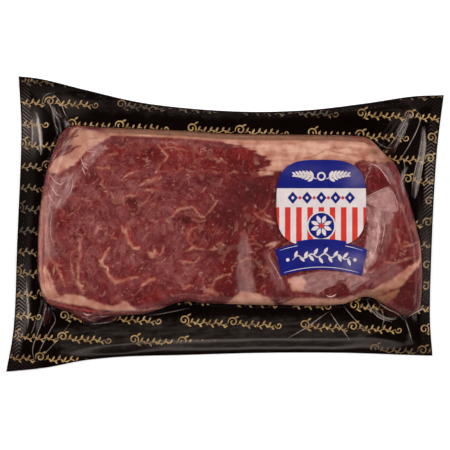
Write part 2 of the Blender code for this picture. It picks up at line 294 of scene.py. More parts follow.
def folds_height(points):
    """How far the four standing corner folds lift the film."""
    height = np.zeros(len(points))
    for foot, tip in CORNER_FOLDS:
        distance, share = line_distance(points, [foot, tip])
        height = np.maximum(height, 0.7 * FOLD_HEIGHT * hump(distance, FOLD_HALF_WIDTH) * (1 - share**2))
    return height


def steak_top(points, inside):
    """The top of the steak: a rounded edge, then the gently uneven cut face."""
    face = np.full(len(points), STEAK_TOP)
    for x, y, radius, height in SWELLINGS:
        face += height * np.exp(-((points[:, 0] - x) ** 2 + (points[:, 1] - y) ** 2) / radius**2)
    face -= 0.5 * SEAM_DEPTH * hump(line_distance(points, SEAM)[0], SEAM_HALF_WIDTH)
    rim = FLANGE_HEIGHT + FILM_THICKNESS + TOUCH_GAP + SIDE_HEIGHT
    reach = ROUND_NEAR + (ROUND_FAR - ROUND_NEAR) * ease(points[:, 1], *ROUND_CHANGE)
    inward = np.clip(inside / reach, 0, 1)
    return rim + (face - rim) * np.sqrt(1 - (1 - inward) ** 2)


# Meshes and shader nodes

def add_object(name, data):
    """A new object in the scene."""
    made = bpy.data.objects.new(name, data)
    bpy.context.scene.collection.objects.link(made)
    return made


def mesh_piece(name, points, faces, look, fields):
    """A smooth-shaded piece from points in mm, with named fields of one number per point."""
    mesh = bpy.data.meshes.new(name)
    mesh.from_pydata((np.array(points) * MM).tolist(), [], faces)
    mesh.shade_smooth()
    mesh.set_sharp_from_angle(angle=math.radians(50))
    mesh.materials.append(look)
    for name_of_field, values in fields.items():
        values = np.asarray(values, np.float32)
        mesh.attributes.new(name_of_field, "FLOAT", "POINT").data.foreach_set("value", values)
    return add_object(name, mesh)


def set_looks(piece, looks, numbers):
    """Give a piece more materials, and each face the number of its own."""
    for look in looks[1:]:
        piece.data.materials.append(look)
    piece.data.polygons.foreach_set("material_index", np.array(numbers, np.int32))


def band_faces(first, second):
    """Quads between two closed rings of point numbers, the first one outside or below."""
    return [[first[k - 1], first[k], second[k], second[k - 1]] for k in [*range(1, len(first)), 0]]


def strip_faces(start, count):
    """Quads between the two edges of a flat shape, whose points run edge after edge."""
    return [[start + k, start + count + k, start + count + k + 1, start + k + 1] for k in range(count - 1)]


def new_material(name, roughness, specular=0.5):
    """A material, its node tree and its Principled shader."""
    made = bpy.data.materials.new(name)
    made.use_nodes = True
    shader = made.node_tree.nodes["Principled BSDF"]
    shader.inputs["Roughness"].default_value = roughness
    shader.inputs["Specular IOR Level"].default_value = specular
    return made, made.node_tree, shader


def feed(tree, node, values):
    """Set a node's inputs; a value that is a socket is linked."""
    for key, value in values.items():
        if isinstance(value, bpy.types.NodeSocket):
            tree.links.new(value, node.inputs[key])
        else:
            node.inputs[key].default_value = value


def put(tree, kind, values=None, **settings):
    """A new node with its settings and input values."""
    node = tree.nodes.new(kind)
    for key, value in settings.items():
        setattr(node, key, value)
    feed(tree, node, values or {})
    return node


def field(tree, name):
    """The socket that reads one of a mesh's fields."""
    return put(tree, "ShaderNodeAttribute", attribute_name=name).outputs["Fac"]


def math_of(tree, operation, a, b=0.0):
    """A Math node's result."""
    return put(tree, "ShaderNodeMath", {0: a, 1: b}, operation=operation).outputs[0]


def shifted(tree, value, scale, start, clamp=False):
    """A value scaled and added to a start."""
    return put(tree, "ShaderNodeMath", {0: value, 1: scale, 2: start}, operation="MULTIPLY_ADD",
               use_clamp=clamp).outputs[0]


def blended(tree, share, first, second):
    """A colour between two colours."""
    return put(tree, "ShaderNodeMix", {0: share, 6: first, 7: second}, data_type="RGBA").outputs[2]


def ramp(tree, value, stops):
    """A colour ramp through stops of (place, colour)."""
    node = put(tree, "ShaderNodeValToRGB", {"Fac": value})
    elements = node.color_ramp.elements
    while len(elements) < len(stops):
        elements.new(0.5)
    for element, (place, colour) in zip(elements, stops):
        element.position = place
        element.color = colour
    return node.outputs["Color"]


def object_noise(tree, size, detail=2.0, roughness=0.5):
    """Noise in the object's own space with features of a size in mm."""
    place = put(tree, "ShaderNodeTexCoord").outputs["Object"]
    return put(tree, "ShaderNodeTexNoise", {"Vector": place, "Scale": 1 / (size * MM), "Detail": detail,
                                            "Roughness": roughness}).outputs["Fac"]


def bumped(tree, height, strength, depth):
    """A normal that follows a height, with its depth in mm."""
    return put(tree, "ShaderNodeBump", {"Strength": strength, "Distance": depth * MM,
                                        "Height": height}).outputs["Normal"]


# The meat's fat, veins and colour

# Outlines of the places that are all fat.
FAT_FIELDS = [
    photo(70, 141, 76, 134, 84, 129, 92, 130.5, 100, 132, 111, 135.5, 106, 140, 98, 144, 92, 149, 86, 153,
          80, 161, 70, 168, 60, 173, 50.6, 174, 48.6, 169, 55, 159, 62, 153, 70, 149),
    photo(214, 142, 226, 134, 250, 132, 300, 131, 356, 133, 369, 137, 384, 150, 397, 162, 383, 163,
          369, 161.3, 359, 160.6, 350, 168, 300, 173, 275, 172.4, 261.4, 176.5, 256, 174, 269, 167.2,
          272, 163, 263, 157, 254, 152, 242, 147.5, 233, 144.5),
    photo(43, 296, 48, 294, 58, 297, 66.7, 294, 80, 295, 94, 300.2, 104, 304, 113, 305.5, 120, 302.5,
          127, 301, 132, 305.3, 138, 309.7, 136, 311, 120, 311, 102.6, 310, 82, 305.5, 70, 303.5,
          58, 302),
    photo(57, 152, 60, 143, 66, 134, 74, 128, 84, 127, 80, 133, 75, 139, 70, 145, 62, 150),
    photo(43, 264, 46, 266, 51, 275, 54, 282, 58, 291, 60, 297, 48, 300, 42, 290),
    photo(222, 305.5, 231, 299.5, 236, 294.5, 240, 291, 250, 291.5, 260, 293.6, 270, 298.5, 278, 305.5,
          262, 307, 240, 307),
    photo(281, 304, 290, 299, 300, 297.5, 323.6, 298, 340, 299, 350.2, 296, 362, 292, 374, 288,
          387.2, 281, 398, 273.5, 408, 265.5, 420, 259, 419, 266, 414, 270, 407, 279, 400, 287, 390, 291,
          380, 295, 370, 299, 347, 304.5, 323, 306.5, 300, 307),
    photo(371, 298, 382.7, 294, 392, 291, 399, 288, 397, 295, 391, 299, 388, 303, 381, 304, 374, 301),
    photo(287, 279, 294, 277, 302, 276, 307, 282, 304, 289, 300, 292, 292, 291),
]
# Each vein is its width in pixels, how pale it is, and its line.
VEINS = [
    (2.2, 0.9, photo(110, 247, 106, 253, 104, 257, 102, 263, 104, 266, 108, 267)),
    (2.8, 0.95, photo(108, 267, 108, 271, 109, 275, 112, 279, 116, 281.5, 124, 280, 131, 278, 138, 277)),
    (2.4, 0.8, photo(126, 229, 127, 235, 130, 243, 133, 247, 136, 248.5, 140, 247.5)),
    (2.2, 0.6, photo(122, 226, 124, 231, 128, 236, 129, 241)),
    (1.5, 0.6, photo(114, 232, 112, 237, 118, 239)),
    (4.0, 0.9, photo(149, 252, 152, 255.5, 156, 253, 155, 250)),
    (1.7, 0.8, photo(164, 245, 163, 250, 162, 253, 159, 255.5)),
    (3.0, 0.8, photo(142, 285.5, 147, 282, 150, 280, 155, 279)),
    (1.6, 0.55, photo(84, 238, 80, 240, 81, 255, 78, 269, 79, 281, 83, 291)),
    (2.6, 0.65, photo(74, 279, 78, 280, 80, 285, 84, 286)),
    (1.6, 0.5, photo(73, 252, 71, 262, 73, 272, 76, 280, 80, 288, 85, 294)),
    (1.9, 0.75, photo(171, 218, 175, 213, 178, 210, 184, 208, 190, 207.5, 194, 207, 196, 211)),
    (1.5, 0.5, photo(196, 211, 200, 216, 205, 218)),
    (1.7, 0.6, photo(206, 215, 211, 210, 216, 203)),
    (1.4, 0.5, photo(192, 219, 199, 222, 205, 220)),
    (1.6, 0.6, photo(189, 232, 188.5, 236, 188, 241, 193, 245)),
    (1.8, 0.65, photo(186, 251.5, 192, 248, 198, 248, 204, 249.5)),
    (1.6, 0.65, photo(180, 261, 188, 262.5, 196, 262, 199.5, 257)),
    (2.4, 0.7, photo(183, 288.5, 188, 286, 193, 285.5)),
    (1.8, 0.7, photo(212, 287, 213.5, 283, 216, 279, 222, 276, 230, 274)),
    (4.4, 0.55, photo(204, 291, 210, 290, 218, 294)),
    (1.5, 0.5, photo(210, 250, 214, 248.5, 218, 249)),
    (1.5, 0.6, photo(97, 167, 103, 168.5, 110, 168, 107, 165)),
    (1.4, 0.5, photo(100, 175, 103, 178, 104, 181, 101, 184, 106, 188)),
    (1.5, 0.5, photo(108, 156, 114, 154, 119, 154)),
    (1.5, 0.55, photo(124, 178, 128, 175, 132, 173, 137, 171)),
    (1.7, 0.6, photo(120, 200, 125, 197, 130, 195.5, 140, 195)),
    (1.4, 0.5, photo(142, 191, 150, 190, 158, 190)),
    (1.3, 0.45, photo(139, 206, 146, 202, 150, 197)),
    (2.0, 0.7, photo(140, 186, 144, 183, 149, 180.5, 155, 178.5, 162, 177)),
    (1.8, 0.6, photo(147, 184, 153, 181, 160, 179.5)),
    (1.7, 0.65, photo(158, 145, 162, 150, 168, 156, 165, 161, 160, 165, 156, 173)),
    (1.5, 0.5, photo(160, 142, 166, 143, 172, 142, 177, 145)),
    (1.4, 0.5, photo(164, 148, 170, 147, 178, 149, 188, 151)),
    (1.3, 0.45, photo(160, 172, 164, 171, 169, 171.5)),
    (1.2, 0.40, photo(174, 170, 177, 171.5, 181, 170.5)),
    (1.3, 0.45, photo(187, 170.5, 191, 172, 196, 171)),
    (1.2, 0.40, photo(202, 170, 204, 172)),
    (1.3, 0.45, photo(213, 171, 217, 173, 221, 172.5)),
    (1.2, 0.40, photo(229, 173.5, 234, 172, 238, 173)),
    (1.4, 0.5, photo(210, 158, 216, 159.5, 219, 162, 222, 160, 227, 163.5)),
    (1.3, 0.45, photo(84, 199, 90, 201, 92, 204, 88, 208)),
    (1.4, 0.4, photo(103, 223, 98, 228, 95, 236)),
    (1.9, 0.6, photo(254, 213, 258, 217, 266, 220, 275, 223.5)),
    (1.7, 0.5, photo(262, 210, 266, 215, 270, 217)),
    (2.6, 0.65, photo(266, 245.5, 272, 244, 279, 241.5)),
    (1.5, 0.5, photo(268, 251, 273, 246, 279, 243)),
    (1.6, 0.5, photo(240, 262, 247, 258, 254, 259)),
    (1.2, 0.4, photo(252, 236, 256, 243, 262, 247)),
    (1.3, 0.4, photo(270, 200, 266, 208, 258, 214)),
    (1.4, 0.5, photo(396, 229, 397, 236, 399, 243, 402, 246, 410, 245, 418, 242)),
    (1.3, 0.4, photo(384, 262, 396, 263, 405, 259, 416, 256)),
    (1.3, 0.4, photo(390, 196, 398, 203, 404, 212)),
    (1.6, 0.5, photo(56, 262, 58, 269, 62, 277, 66, 286)),
    (1.4, 0.5, photo(50, 256, 54, 262, 60, 266, 66, 264)),
]
# Strips along the outline where the fat of the rim shows: width in pixels, how full, and the line.
RIM_LINES = [
    (1.6, 0.8, photo(39.5, 236, 39.5, 262, 41, 284, 44, 300)),
    (2.0, 0.6, photo(56, 148, 62, 142, 68, 135, 74, 129, 80, 126.5)),
    (1.6, 0.5, photo(52, 158, 57, 151, 64, 146, 70, 142)),
    (1.5, 0.5, photo(60, 138, 66, 132, 72, 127)),
    (1.3, 0.45, photo(66, 146, 72, 140, 76, 134, 84, 128)),
    (3.2, 0.85, photo(43, 200, 41.5, 220, 41, 245, 41.5, 270, 43, 296)),
    (4.5, 0.45, photo(46, 196, 46, 215, 47, 235, 49, 255, 47, 266)),
    (2.0, 0.6, photo(396, 164, 404, 180, 411, 200, 417, 222)),
    (2.6, 0.75, photo(418, 222, 420, 240, 420.5, 258)),
    (2.2, 0.7, photo(138, 310.5, 170, 307, 205, 304.5, 224, 305.5)),
]
# Soft spots where the lean is darker or brighter; the dark ones along the near edge are partly painted
# shade in its hollows.
TONE_SPOTS = [
    (119, 143, 7, 5, -0.22), (150, 155, 11, 10, -0.26), (199, 180, 13, 7, -0.16),
    (258, 190, 22, 17, -0.20), (134, 201, 7, 4, -0.24), (186, 220, 8, 3.5, -0.42),
    (217, 214, 7, 6, -0.20), (150, 298, 30, 8, -0.16), (229, 291, 10, 9, -0.26), (283, 299, 11, 6, -0.30),
    (256, 281, 14, 9, -0.14), (340, 293, 22, 8, -0.26), (409, 296, 14, 20, -0.62), (58, 270, 9, 6, -0.22),
    (60, 224, 7, 22, -0.12), (94, 178, 10, 9, -0.10), (218, 240, 14, 26, -0.05), (105, 262, 5, 9, 0.06),
    (90, 240, 26, 34, 0.04), (176, 270, 22, 14, 0.05), (180, 288, 9, 5, 0.05), (160, 222, 16, 12, 0.03),
    (120, 190, 20, 10, 0.02), (376, 180, 9, 9, -0.26), (98, 291, 14, 8, -0.08), (398, 230, 18, 40, -0.07),
    (82, 165, 9, 9, -0.02), (172, 146, 26, 4, 0.08), (128, 235, 5, 7, 0.10), (344, 163, 12, 3, -0.12),
    (92, 318, 38, 8, -0.95), (126, 316, 14, 5, -0.7), (262, 250, 12, 22, -0.10),
    (252, 205, 16, 22, -0.06), (66, 138, 9, 9, -0.12), (228, 268, 9, 24, -0.12), (258, 270, 7, 24, -0.10),
    (386, 176, 8, 9, -0.16), (206, 222, 22, 10, -0.06), (140, 172, 30, 6, 0.03),
    (232, 222, 12, 16, -0.08), (134, 160, 10, 5, -0.08), (200, 140, 24, 4, 0.03),
]
# Soft spots where the lean is a clearer red.
RED_SPOTS = [
    (245, 158, 26, 13, 0.9), (200, 158, 44, 14, 0.6), (140, 150, 40, 12, 0.6), (58, 270, 10, 8, 0.9),
    (228, 262, 14, 34, 0.7), (258, 262, 14, 34, 0.6), (386, 177, 9, 9, 0.8), (229, 291, 10, 9, 0.9),
    (340, 293, 26, 8, 0.6), (60, 144, 14, 14, 1.0), (361, 139, 8, 4, 1.0), (150, 298, 40, 9, 0.5),
    (127, 233, 7, 8, 0.9), (212, 293, 12, 5, 0.7), (62, 220, 8, 24, 0.4), (88, 158, 10, 10, 0.5),
    (410, 294, 14, 20, 0.3), (406, 218, 16, 44, 0.5), (206, 222, 22, 12, 0.3), (374, 182, 10, 10, 0.9),
    (92, 318, 40, 8, 1.0), (256, 220, 18, 40, 0.35),
]
# Thin red threads in the fat: width in pixels and a line.
RED_THREADS = [
    (1.3, photo(296, 157, 308, 158, 316, 155, 326, 149.5, 338, 148.5, 350, 148)),
    (1.1, photo(330, 151, 344, 154, 357, 156.5, 368, 159)),
    (1.0, photo(300, 162, 312, 163, 322, 160)),
    (1.4, photo(353, 138, 360, 141, 368, 140, 374, 146)),
    (1.0, photo(84, 141, 90, 139, 99, 137)),
    (1.8, photo(42, 208, 41.5, 232, 42, 256, 43, 276, 46, 292)),
    (1.3, photo(46, 268, 49, 278, 52, 288)),
    (3.6, photo(47, 170, 52, 160, 58, 154, 66, 149, 72, 146)),
    (4.6, photo(56, 151, 61, 144, 66, 137, 69, 130)),
    (1.6, photo(52, 155, 56, 147, 61, 139, 66, 132)),
    (1.4, photo(64, 148, 70, 143, 73, 138, 80, 135)),
    (2.6, photo(352, 135.5, 358, 137, 366, 136.5)),
    (2.0, photo(386, 156, 392, 161, 398, 165)),
    (3.2, photo(66, 142, 72, 137, 77, 131, 81, 127.5)),
    (2.2, photo(60, 156, 68, 153, 75, 148, 82, 146)),
    (1.6, photo(46, 301, 60, 305, 80, 309, 104, 312.5, 136, 313)),
]
# The red glow beside a vein lies a little to its right and above it, in mm.
VEIN_GLOW = (0.6, 0.6)
SWIRL_MIDDLE, = photo(128, 236)
# A scattered mark bends once in so many mm, and this share of them lies across the fibres.
MARK_STEP = 0.7
CROSSWISE = 0.2
# Kinds of scattered marks: their lengths and half widths in mm, and how strong they are.
SMUDGES = dict(seed=5, count=240, lengths=(1.5, 2.5), halves=(0.8, 2.0), amounts=(0.08, 0.22))
STROKES = dict(seed=7, count=1900, lengths=(0.6, 1.9), halves=(0.24, 0.46), amounts=(0.15, 0.72), bend=0.5)
TICKS = dict(seed=9, count=1500, lengths=(0.25, 0.3), halves=(0.22, 0.34), amounts=(0.30, 0.95), crowd=0.6)
DARK_TICKS = dict(seed=13, count=900, lengths=(0.6, 2.0), halves=(0.30, 0.70), amounts=(0.10, 0.36),
                  crowd=0.6)
# From the first pixel across to the second the lean turns darker, and from the third to the fourth paler.
TONE_CHANGES = (188, 228, 345, 375)
# The torn corner, where the red threads are dark, and places where the fat is dull or bright.
TORN_CORNER = [(60, 142, 18, 18, 1.0)]
DULL_SPOTS = [(374, 152, 7, 5, 1.2), (386, 160, 9, 4, 1.0), (336, 163, 13, 3, 1.0), (64, 140, 11, 13, 1.1)]
BRIGHT_SPOTS = [(318, 149, 40, 6, 1.0)]


def spots(x, y, places):
    """The sum of soft spots given in pixels as x, y, half width, half height and amount."""
    total = np.zeros(len(x))
    for px, py, wide, high, amount in places:
        (cx, cy), = photo(px, py)
        total += amount * np.exp(-(((x - cx) / (wide * PIXEL)) ** 2 + ((y - cy) / (high * PIXEL)) ** 2))
    return total


def beyond_seam(x, y):
    """0 in the eye of the steak and 1 beyond the seam."""
    return ease(x + 4 * noise(x, y, 12, 73, 2), 1, 17)


def grain_turn(x, y):
    """The direction of the fibres in radians: they swirl round the eye of the steak."""
    turn = np.arctan2(y - SWIRL_MIDDLE[1], (x - SWIRL_MIDDLE[0]) * 0.55) + math.pi / 2
    beyond = beyond_seam(x, y)
    return turn * (1 - beyond) + math.radians(112) * beyond


def draw_line(fat, points, line, half, amount):
    """Paint a soft line into a field, looking only at the points near it."""
    line = np.array(line, float)
    reach = np.max(half) * 1.6
    low, high = line.min(0) - reach, line.max(0) + reach
    near = np.flatnonzero((points[:, 0] > low[0]) & (points[:, 0] < high[0])
                          & (points[:, 1] > low[1]) & (points[:, 1] < high[1]))
    if len(near):
        distance, share = line_distance(points[near], line)
        taper = half * (0.55 + 0.45 * np.sin(math.pi * share))
        fat[near] = np.maximum(fat[near], amount * (1 - ease(distance, taper * 0.35, taper * 1.5)))


def scatter(target, points, seed, count, lengths, halves, amounts, bend=0.4, crowd=0.55):
    """Paint many short strokes that follow the fibres, placed from a fixed seed."""
    chance = np.random.default_rng(seed)
    x0, y0 = points.min(0)
    x1, y1 = points.max(0)
    for _ in range(count):
        x, y = chance.uniform(x0, x1), chance.uniform(y0, y1)
        place = np.array([x]), np.array([y])
        turn = float(grain_turn(*place)[0]) + chance.normal(0, 0.5)
        turn += math.pi / 2 * (chance.random() < CROSSWISE)
        length = lengths[0] + min(chance.exponential(lengths[1]), 3 * lengths[1])
        half, amount = chance.uniform(*halves), chance.uniform(*amounts)
        if chance.random() > crowd + 0.6 * float(noise(*place, 15, 55, 2)[0]):
            continue
        steps = max(1, round(length / MARK_STEP))
        line = [(x, y)]
        for _ in range(steps):
            turn += chance.normal(0, bend)
            x, y = line[-1]
            line.append((x + length / steps * math.cos(turn), y + length / steps * math.sin(turn)))
        draw_line(target, points, line, half, amount)


def marks(points, wobble):
    """Marks in the lean: flecks and veins of fat, dark fibres, and the red glow beside the veins."""
    x, y = points[:, 0], points[:, 1]
    fat, smudge, dark, glow = np.zeros((4, len(x)))
    for target, kind in ((smudge, SMUDGES), (fat, STROKES), (fat, TICKS), (dark, DARK_TICKS)):
        scatter(target, points, **kind)
    for width, pale, line in VEINS:
        draw_line(fat, wobble, line, width * PIXEL * 0.66, min(1.1, pale * 1.25))
        draw_line(smudge, wobble, line, width * PIXEL * 0.5 + 0.6, 0.16)
        draw_line(glow, wobble - VEIN_GLOW, line, width * PIXEL * 0.9 + 0.7, pale)
    fat = np.maximum(fat * (0.76 + 0.35 * noise(x, y, 1.3, 35, 2) + 0.4 * noise(x, y, 3.2, 39)), smudge)
    for width, pale, line in RIM_LINES:
        draw_line(fat, wobble, line, width * PIXEL * 0.6, pale)
    return fat, dark, glow


def solid_fat(points, inside):
    """Where the steak is all fat, and the strip of fat along its far edge alone."""
    x, y = points[:, 0], points[:, 1]
    ragged = noise(x, y, 2.2, 17, 3) * 0.55 + noise(x, y, 8.0, 15, 2) * 0.4
    feathers = noise(x * 0.13, y * 1.1, 1.3, 29, 2) * 1.5
    ragged += feathers * ease(x, -12, 4) * ease(y, 20, 28) * (1 - ease(x, 24, 34))
    solid = np.zeros(len(x))
    for outline in FAT_FIELDS:
        solid = np.maximum(solid, ease(outline_distance(points, outline) + ragged, -0.6, 0.9))
    far_side = ease(y, 36, 42) * (1 - ease(x, 74, 80)) * ease(x, -66, -58)
    strip = (1 - ease(inside, 3.6, 4.6)) * far_side
    return np.maximum(solid, strip), strip


def fibres(x, y):
    """Fibres of the lean: they swirl in the eye and run straight beyond the seam."""
    turn = grain_turn(x, y) + 0.25 * noise(x, y, 14, 71, 2)
    a = x * np.cos(turn) + y * np.sin(turn)
    b = -x * np.sin(turn) + y * np.cos(turn)
    beyond = beyond_seam(x, y)
    straight = noise(x * 0.45 + y * 0.2, x * -0.9 + y * 0.3, 1.9, 81, 3) * beyond
    return straight + (0.85 * noise(a * 0.25, b, 1.6, 83, 3) + 0.4 * noise(x, y, 2.2, 87, 3)) * (1 - beyond)


def dull_fat_and_edge_shade(x, y, inside, strip):
    """Where the fat is grey and dull: painted shade on the far side wall and along the near edge, and dull
    fat in spots.
    """
    near = ease(-y, 31, 36) * (0.25 + 0.5 * ease(x, 60, 72)) + 0.5 * ease(x, 74, 84) * ease(-y, 24, 30)
    far = np.maximum(strip * (1 - ease(inside, 2.6, 3.6)), 0.25 * ease(y, 41, 46))
    return np.maximum(np.maximum(far, 0.8 * spots(x, y, DULL_SPOTS)), near)


def meat_fields(points, inside):
    """The amount of fat, its shade, and the tone and redness of the lean at each point."""
    x, y = points[:, 0], points[:, 1]
    wobble = np.stack([x + noise(x, y, 1.8, 21, 2) * 0.5, y + noise(x, y, 1.8, 25, 2) * 0.5], axis=1)
    fat, dark, glow = marks(points, wobble)
    solid, strip = solid_fat(points, inside)
    px = x / PIXEL + PHOTO_MIDDLE[0]
    tone = 0.56 - 0.11 * ease(px, *TONE_CHANGES[:2]) + 0.07 * ease(px, *TONE_CHANGES[2:])
    tone += spots(x, y, TONE_SPOTS)
    tone += 0.15 * fibres(x, y) + 0.13 * noise(x, y, 7, 85, 3) - 0.65 * dark
    # Painted shade: the lean is darker within a few mm of the outline, most along the near side.
    tone -= 0.20 * (1 - ease(inside, 0.3, 2.6)) * (1 - ease(y, -30, 20))
    red = 0.05 + spots(x, y, RED_SPOTS) + 0.45 * noise(x, y, 6, 91, 2) + 0.7 * glow + 0.6 * dark
    threads = np.zeros(len(x))
    for width, line in RED_THREADS:
        draw_line(threads, wobble, line, width * PIXEL * 0.6, 0.85)
    torn = spots(x, y, TORN_CORNER)
    in_tear = np.minimum(3 * torn, 1)
    tone = np.maximum(tone - 0.45 * threads * torn, threads * (1 - in_tear))
    faint = ease(noise(x * 0.16 + y * 0.1, y, 1.8, 19, 2), 0.2, 0.8) * ease(x, 10, 30)
    threads = np.maximum(threads, 0.28 * solid * faint)
    fat = np.maximum(fat, solid) * (1 - 0.3 * np.minimum(torn, 1)) * (1 - threads * (0.6 + 0.35 * in_tear))
    streaks = noise(x * 0.16, y, 1.5, 11, 3) * ease(x, -5, 10) * ease(y, 15, 25)
    shade = 0.5 + 0.22 * streaks + 0.4 * noise(x, y, 6, 95, 3)
    shade += 0.3 * spots(x, y, BRIGHT_SPOTS) - 0.12 * (1 - solid)
    tone, red = np.maximum(tone, 0.16 + 0.25 * tone), np.maximum(red, 1.3 * threads)
    grey = dull_fat_and_edge_shade(x, y, inside, strip)
    fields = {"fat": fat, "tone": tone, "red": red, "grey": grey, "shade": shade, "solid": solid}
    return {name: np.clip(values, 0, 1) for name, values in fields.items()}


def meat_material():
    """Raw beef: lean from dark to pale and red, creamy tan fat, and a fine fibrous grain."""
    made, tree, shader = new_material("raw_marbled_beef", 0.42, 0.14)
    fine = object_noise(tree, 0.5, 3.0, 0.6)
    coarse = object_noise(tree, 4.5, 3.0, 0.6)
    grain = math_of(tree, "SUBTRACT", fine, 0.5)
    tone = shifted(tree, grain, 0.6, field(tree, "tone"))
    lean = ramp(tree, tone, [(0.0, tint(54, 8, 12)), (0.25, tint(82, 17, 21)),
                             (0.45, tint(102, 32, 35)), (0.62, tint(127, 59, 59)),
                             (0.8, tint(150, 90, 88)), (1.0, tint(180, 122, 116))])
    redder = ramp(tree, tone, [(0.0, tint(60, 8, 12)), (0.25, tint(88, 9, 15)), (0.45, tint(110, 18, 19)),
                               (0.62, tint(135, 36, 33)), (1.0, tint(172, 80, 68))])
    lean = blended(tree, field(tree, "red"), lean, redder)
    shade = shifted(tree, grain, 0.3, field(tree, "shade"))
    pale = ramp(tree, shade, [(0.1, tint(172, 102, 84)), (0.45, tint(198, 136, 114)),
                              (0.85, tint(224, 172, 148))])
    # The grey field mixes in this dull colour: dull fat in spots, and painted shade on the far side wall
    # and near edge.
    dull = ramp(tree, coarse, [(0.2, tint(102, 60, 42)), (0.8, tint(156, 100, 72))])
    fat_colour = blended(tree, field(tree, "grey"), pale, dull)
    amount = shifted(tree, grain, 0.45, field(tree, "fat"), clamp=True)
    relief = shifted(tree, field(tree, "fat"), 0.4, fine)
    feed(tree, shader, {"Base Color": blended(tree, amount, lean, fat_colour),
                        "Normal": bumped(tree, relief, 0.35, 0.25),
                        "Roughness": shifted(tree, coarse, 0.2, 0.36)})
    return made


# Nets are finer towards the steak's outline: the first steps inwards, then the cell, in mm.
MEAT_STEPS = [0.2, 0.5, 0.9, 1.3, 1.8]
MEAT_CELL = 0.5
BELLY_INSETS = [0.0, 1.0, 2.5, 4.5, 7.0, 9.5, 12.5]
# The meat lies this far below the solid's top all over, and this much more inside its rim.
MEAT_DROP = 0.25
FACE_DROP = 0.12
# What the fields say on the steak's wall and belly.
BELLY_FIELDS = {"fat": 0.5, "tone": 0.4, "red": 0.3, "grey": 0.6, "shade": 0.4}


def net_faces(rows, columns):
    """The quads of a net whose points run row after row."""
    number = np.arange(rows * columns).reshape(rows, columns)
    quads = np.stack([number[:-1, :-1], number[1:, :-1], number[1:, 1:], number[:-1, 1:]], axis=-1)
    border = [*number[:-1, 0], *number[-1, :-1], *number[:0:-1, -1], *number[0, :0:-1]]
    return quads.reshape(-1, 4).tolist(), [int(n) for n in border]


def net_over_steak(sides, steps, cell):
    """A net over the steak: shares across and deep, points, faces, and the numbers of its border."""
    across, deep = graded(STEAK_LENGTH, steps, cell), graded(STEAK_DEPTH, steps, cell)
    u, v = [share.ravel() for share in np.meshgrid(across, deep, indexing="ij")]
    return across, deep, patch(sides, u, v), *net_faces(len(across), len(deep))


def belly_rings(sides, across, deep, outline):
    """Rings that run inwards under the steak, each with the back film's height there."""
    for inset in BELLY_INSETS:
        ring = patch(sides, *loop_shares(across, deep, inset))
        depth = np.maximum(outline_distance(ring, outline), 0) if inset else np.zeros(len(ring))
        yield ring, film_height(ring, depth, np.zeros(len(ring)))


def make_meat():
    """The steak as a closed body: a dense cut face, a low wall, and a plain belly on the back film."""
    sides = steak_sides()
    across, deep, plan, faces, border = net_over_steak(sides, MEAT_STEPS, MEAT_CELL)
    outline = plan[border][::OUTLINE_STEP]
    inside = np.maximum(outline_distance(plan, outline), 0)
    inside[border] = 0
    fields = meat_fields(plan, inside)
    x, y = plan[:, 0], plan[:, 1]
    relief = 0.10 * (fields["fat"] - fields.pop("solid")) + 0.10 * noise(x, y, 2.4, 101, 3)
    relief += 0.20 * noise(x, y, 9, 105, 2) + 0.22 * noise(x, y, 4, 109, 2) * (1 - ease(inside, 3, 8))
    top = steak_top(plan, inside) - MEAT_DROP + ease(inside, 0.5, 3.0) * (relief - FACE_DROP)
    points = [np.column_stack([plan, top])]
    last, count = border, len(plan)
    for ring, height in belly_rings(sides, across, deep, outline):
        points.append(np.column_stack([ring, height + FILM_THICKNESS + TOUCH_GAP / 2]))
        inner = range(count, count + len(ring))
        faces += [face[::-1] for face in band_faces(last, inner)]
        last = inner
        count += len(ring)
    faces.append(list(last)[::-1])
    for name, value in BELLY_FIELDS.items():
        fields[name] = np.concatenate([fields[name], np.full(count - len(plan), value)])
    piece = mesh_piece("ribeye_meat", np.concatenate(points), faces, meat_material(), fields)
    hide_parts("steak")
    return piece


# The two films

FILM_STEPS = [0.6, 1.3, 2.2, 3.4, 5.0, 7.0]
FILM_CELL = 0.68
FILM_RINGS = 40
# Rings lie closer together at the steak by this power, and the first of them hug the meat.
RING_CROWDING = 1.35
TIGHT_RINGS = 9
WRAP_WIDTH = 1.6
# The black film fills this share of the solid's thickness, and the clear film lies in the rest.
BLACK_SHARE = 0.8
CLEAR_OVER_MEAT = 0.12
CLEAR_LIFT = 0.02
# The seal's chevrons, in mm: how far out they turn, how steep they are, and from line to line.
KNURL_MIDDLE = 107.6
KNURL_SLOPE = 0.85
KNURL_PITCH = 1.9
# Soft spots where the film over the steak's rim mirrors little.
DULL_RIM = [
    (392, 190, 12, 22, 0.6), (409, 226, 11, 30, 0.6), (418, 282, 8, 30, 0.6), (190, 303, 60, 7, 0.6),
]
# Soft spots where the knurled seal catches the light.
SEAL_LIT = [
    (24, 126, 9, 24, 0.9), (20, 298, 9, 30, 0.7), (18, 336, 8, 16, 0.4), (431, 178, 9, 34, 0.75),
    (429, 250, 8, 22, 0.45), (428, 290, 8, 16, 0.3),
]

# The films mirror the studio a little warmer than it is.
GLOSS_COLOUR = (1.0, 0.84, 0.78, 1.0)
# The black film's least gloss, and soft spots where it is glossier.
DULL_SHINE = 0.10
SHINE_LIT = [
    (32, 128, 14, 26, 1.0), (27, 300, 8, 30, 0.3), (62, 110, 22, 18, 0.6), (402, 140, 18, 40, 0.6),
    (210, 338, 150, 22, 1.0), (330, 350, 60, 10, 0.6), (392, 318, 34, 20, 0.4), (64, 338, 30, 18, 0.6),
]


def seal_zone(points, pack_outline):
    """1 in the knurled seal along the pack's two short edges."""
    edge = outline_distance(points, pack_outline)
    return ease(edge, 0.4, 0.9) * (1 - ease(edge, 4.8, 6.0)) * ease(np.abs(points[:, 0]), 95, 99)


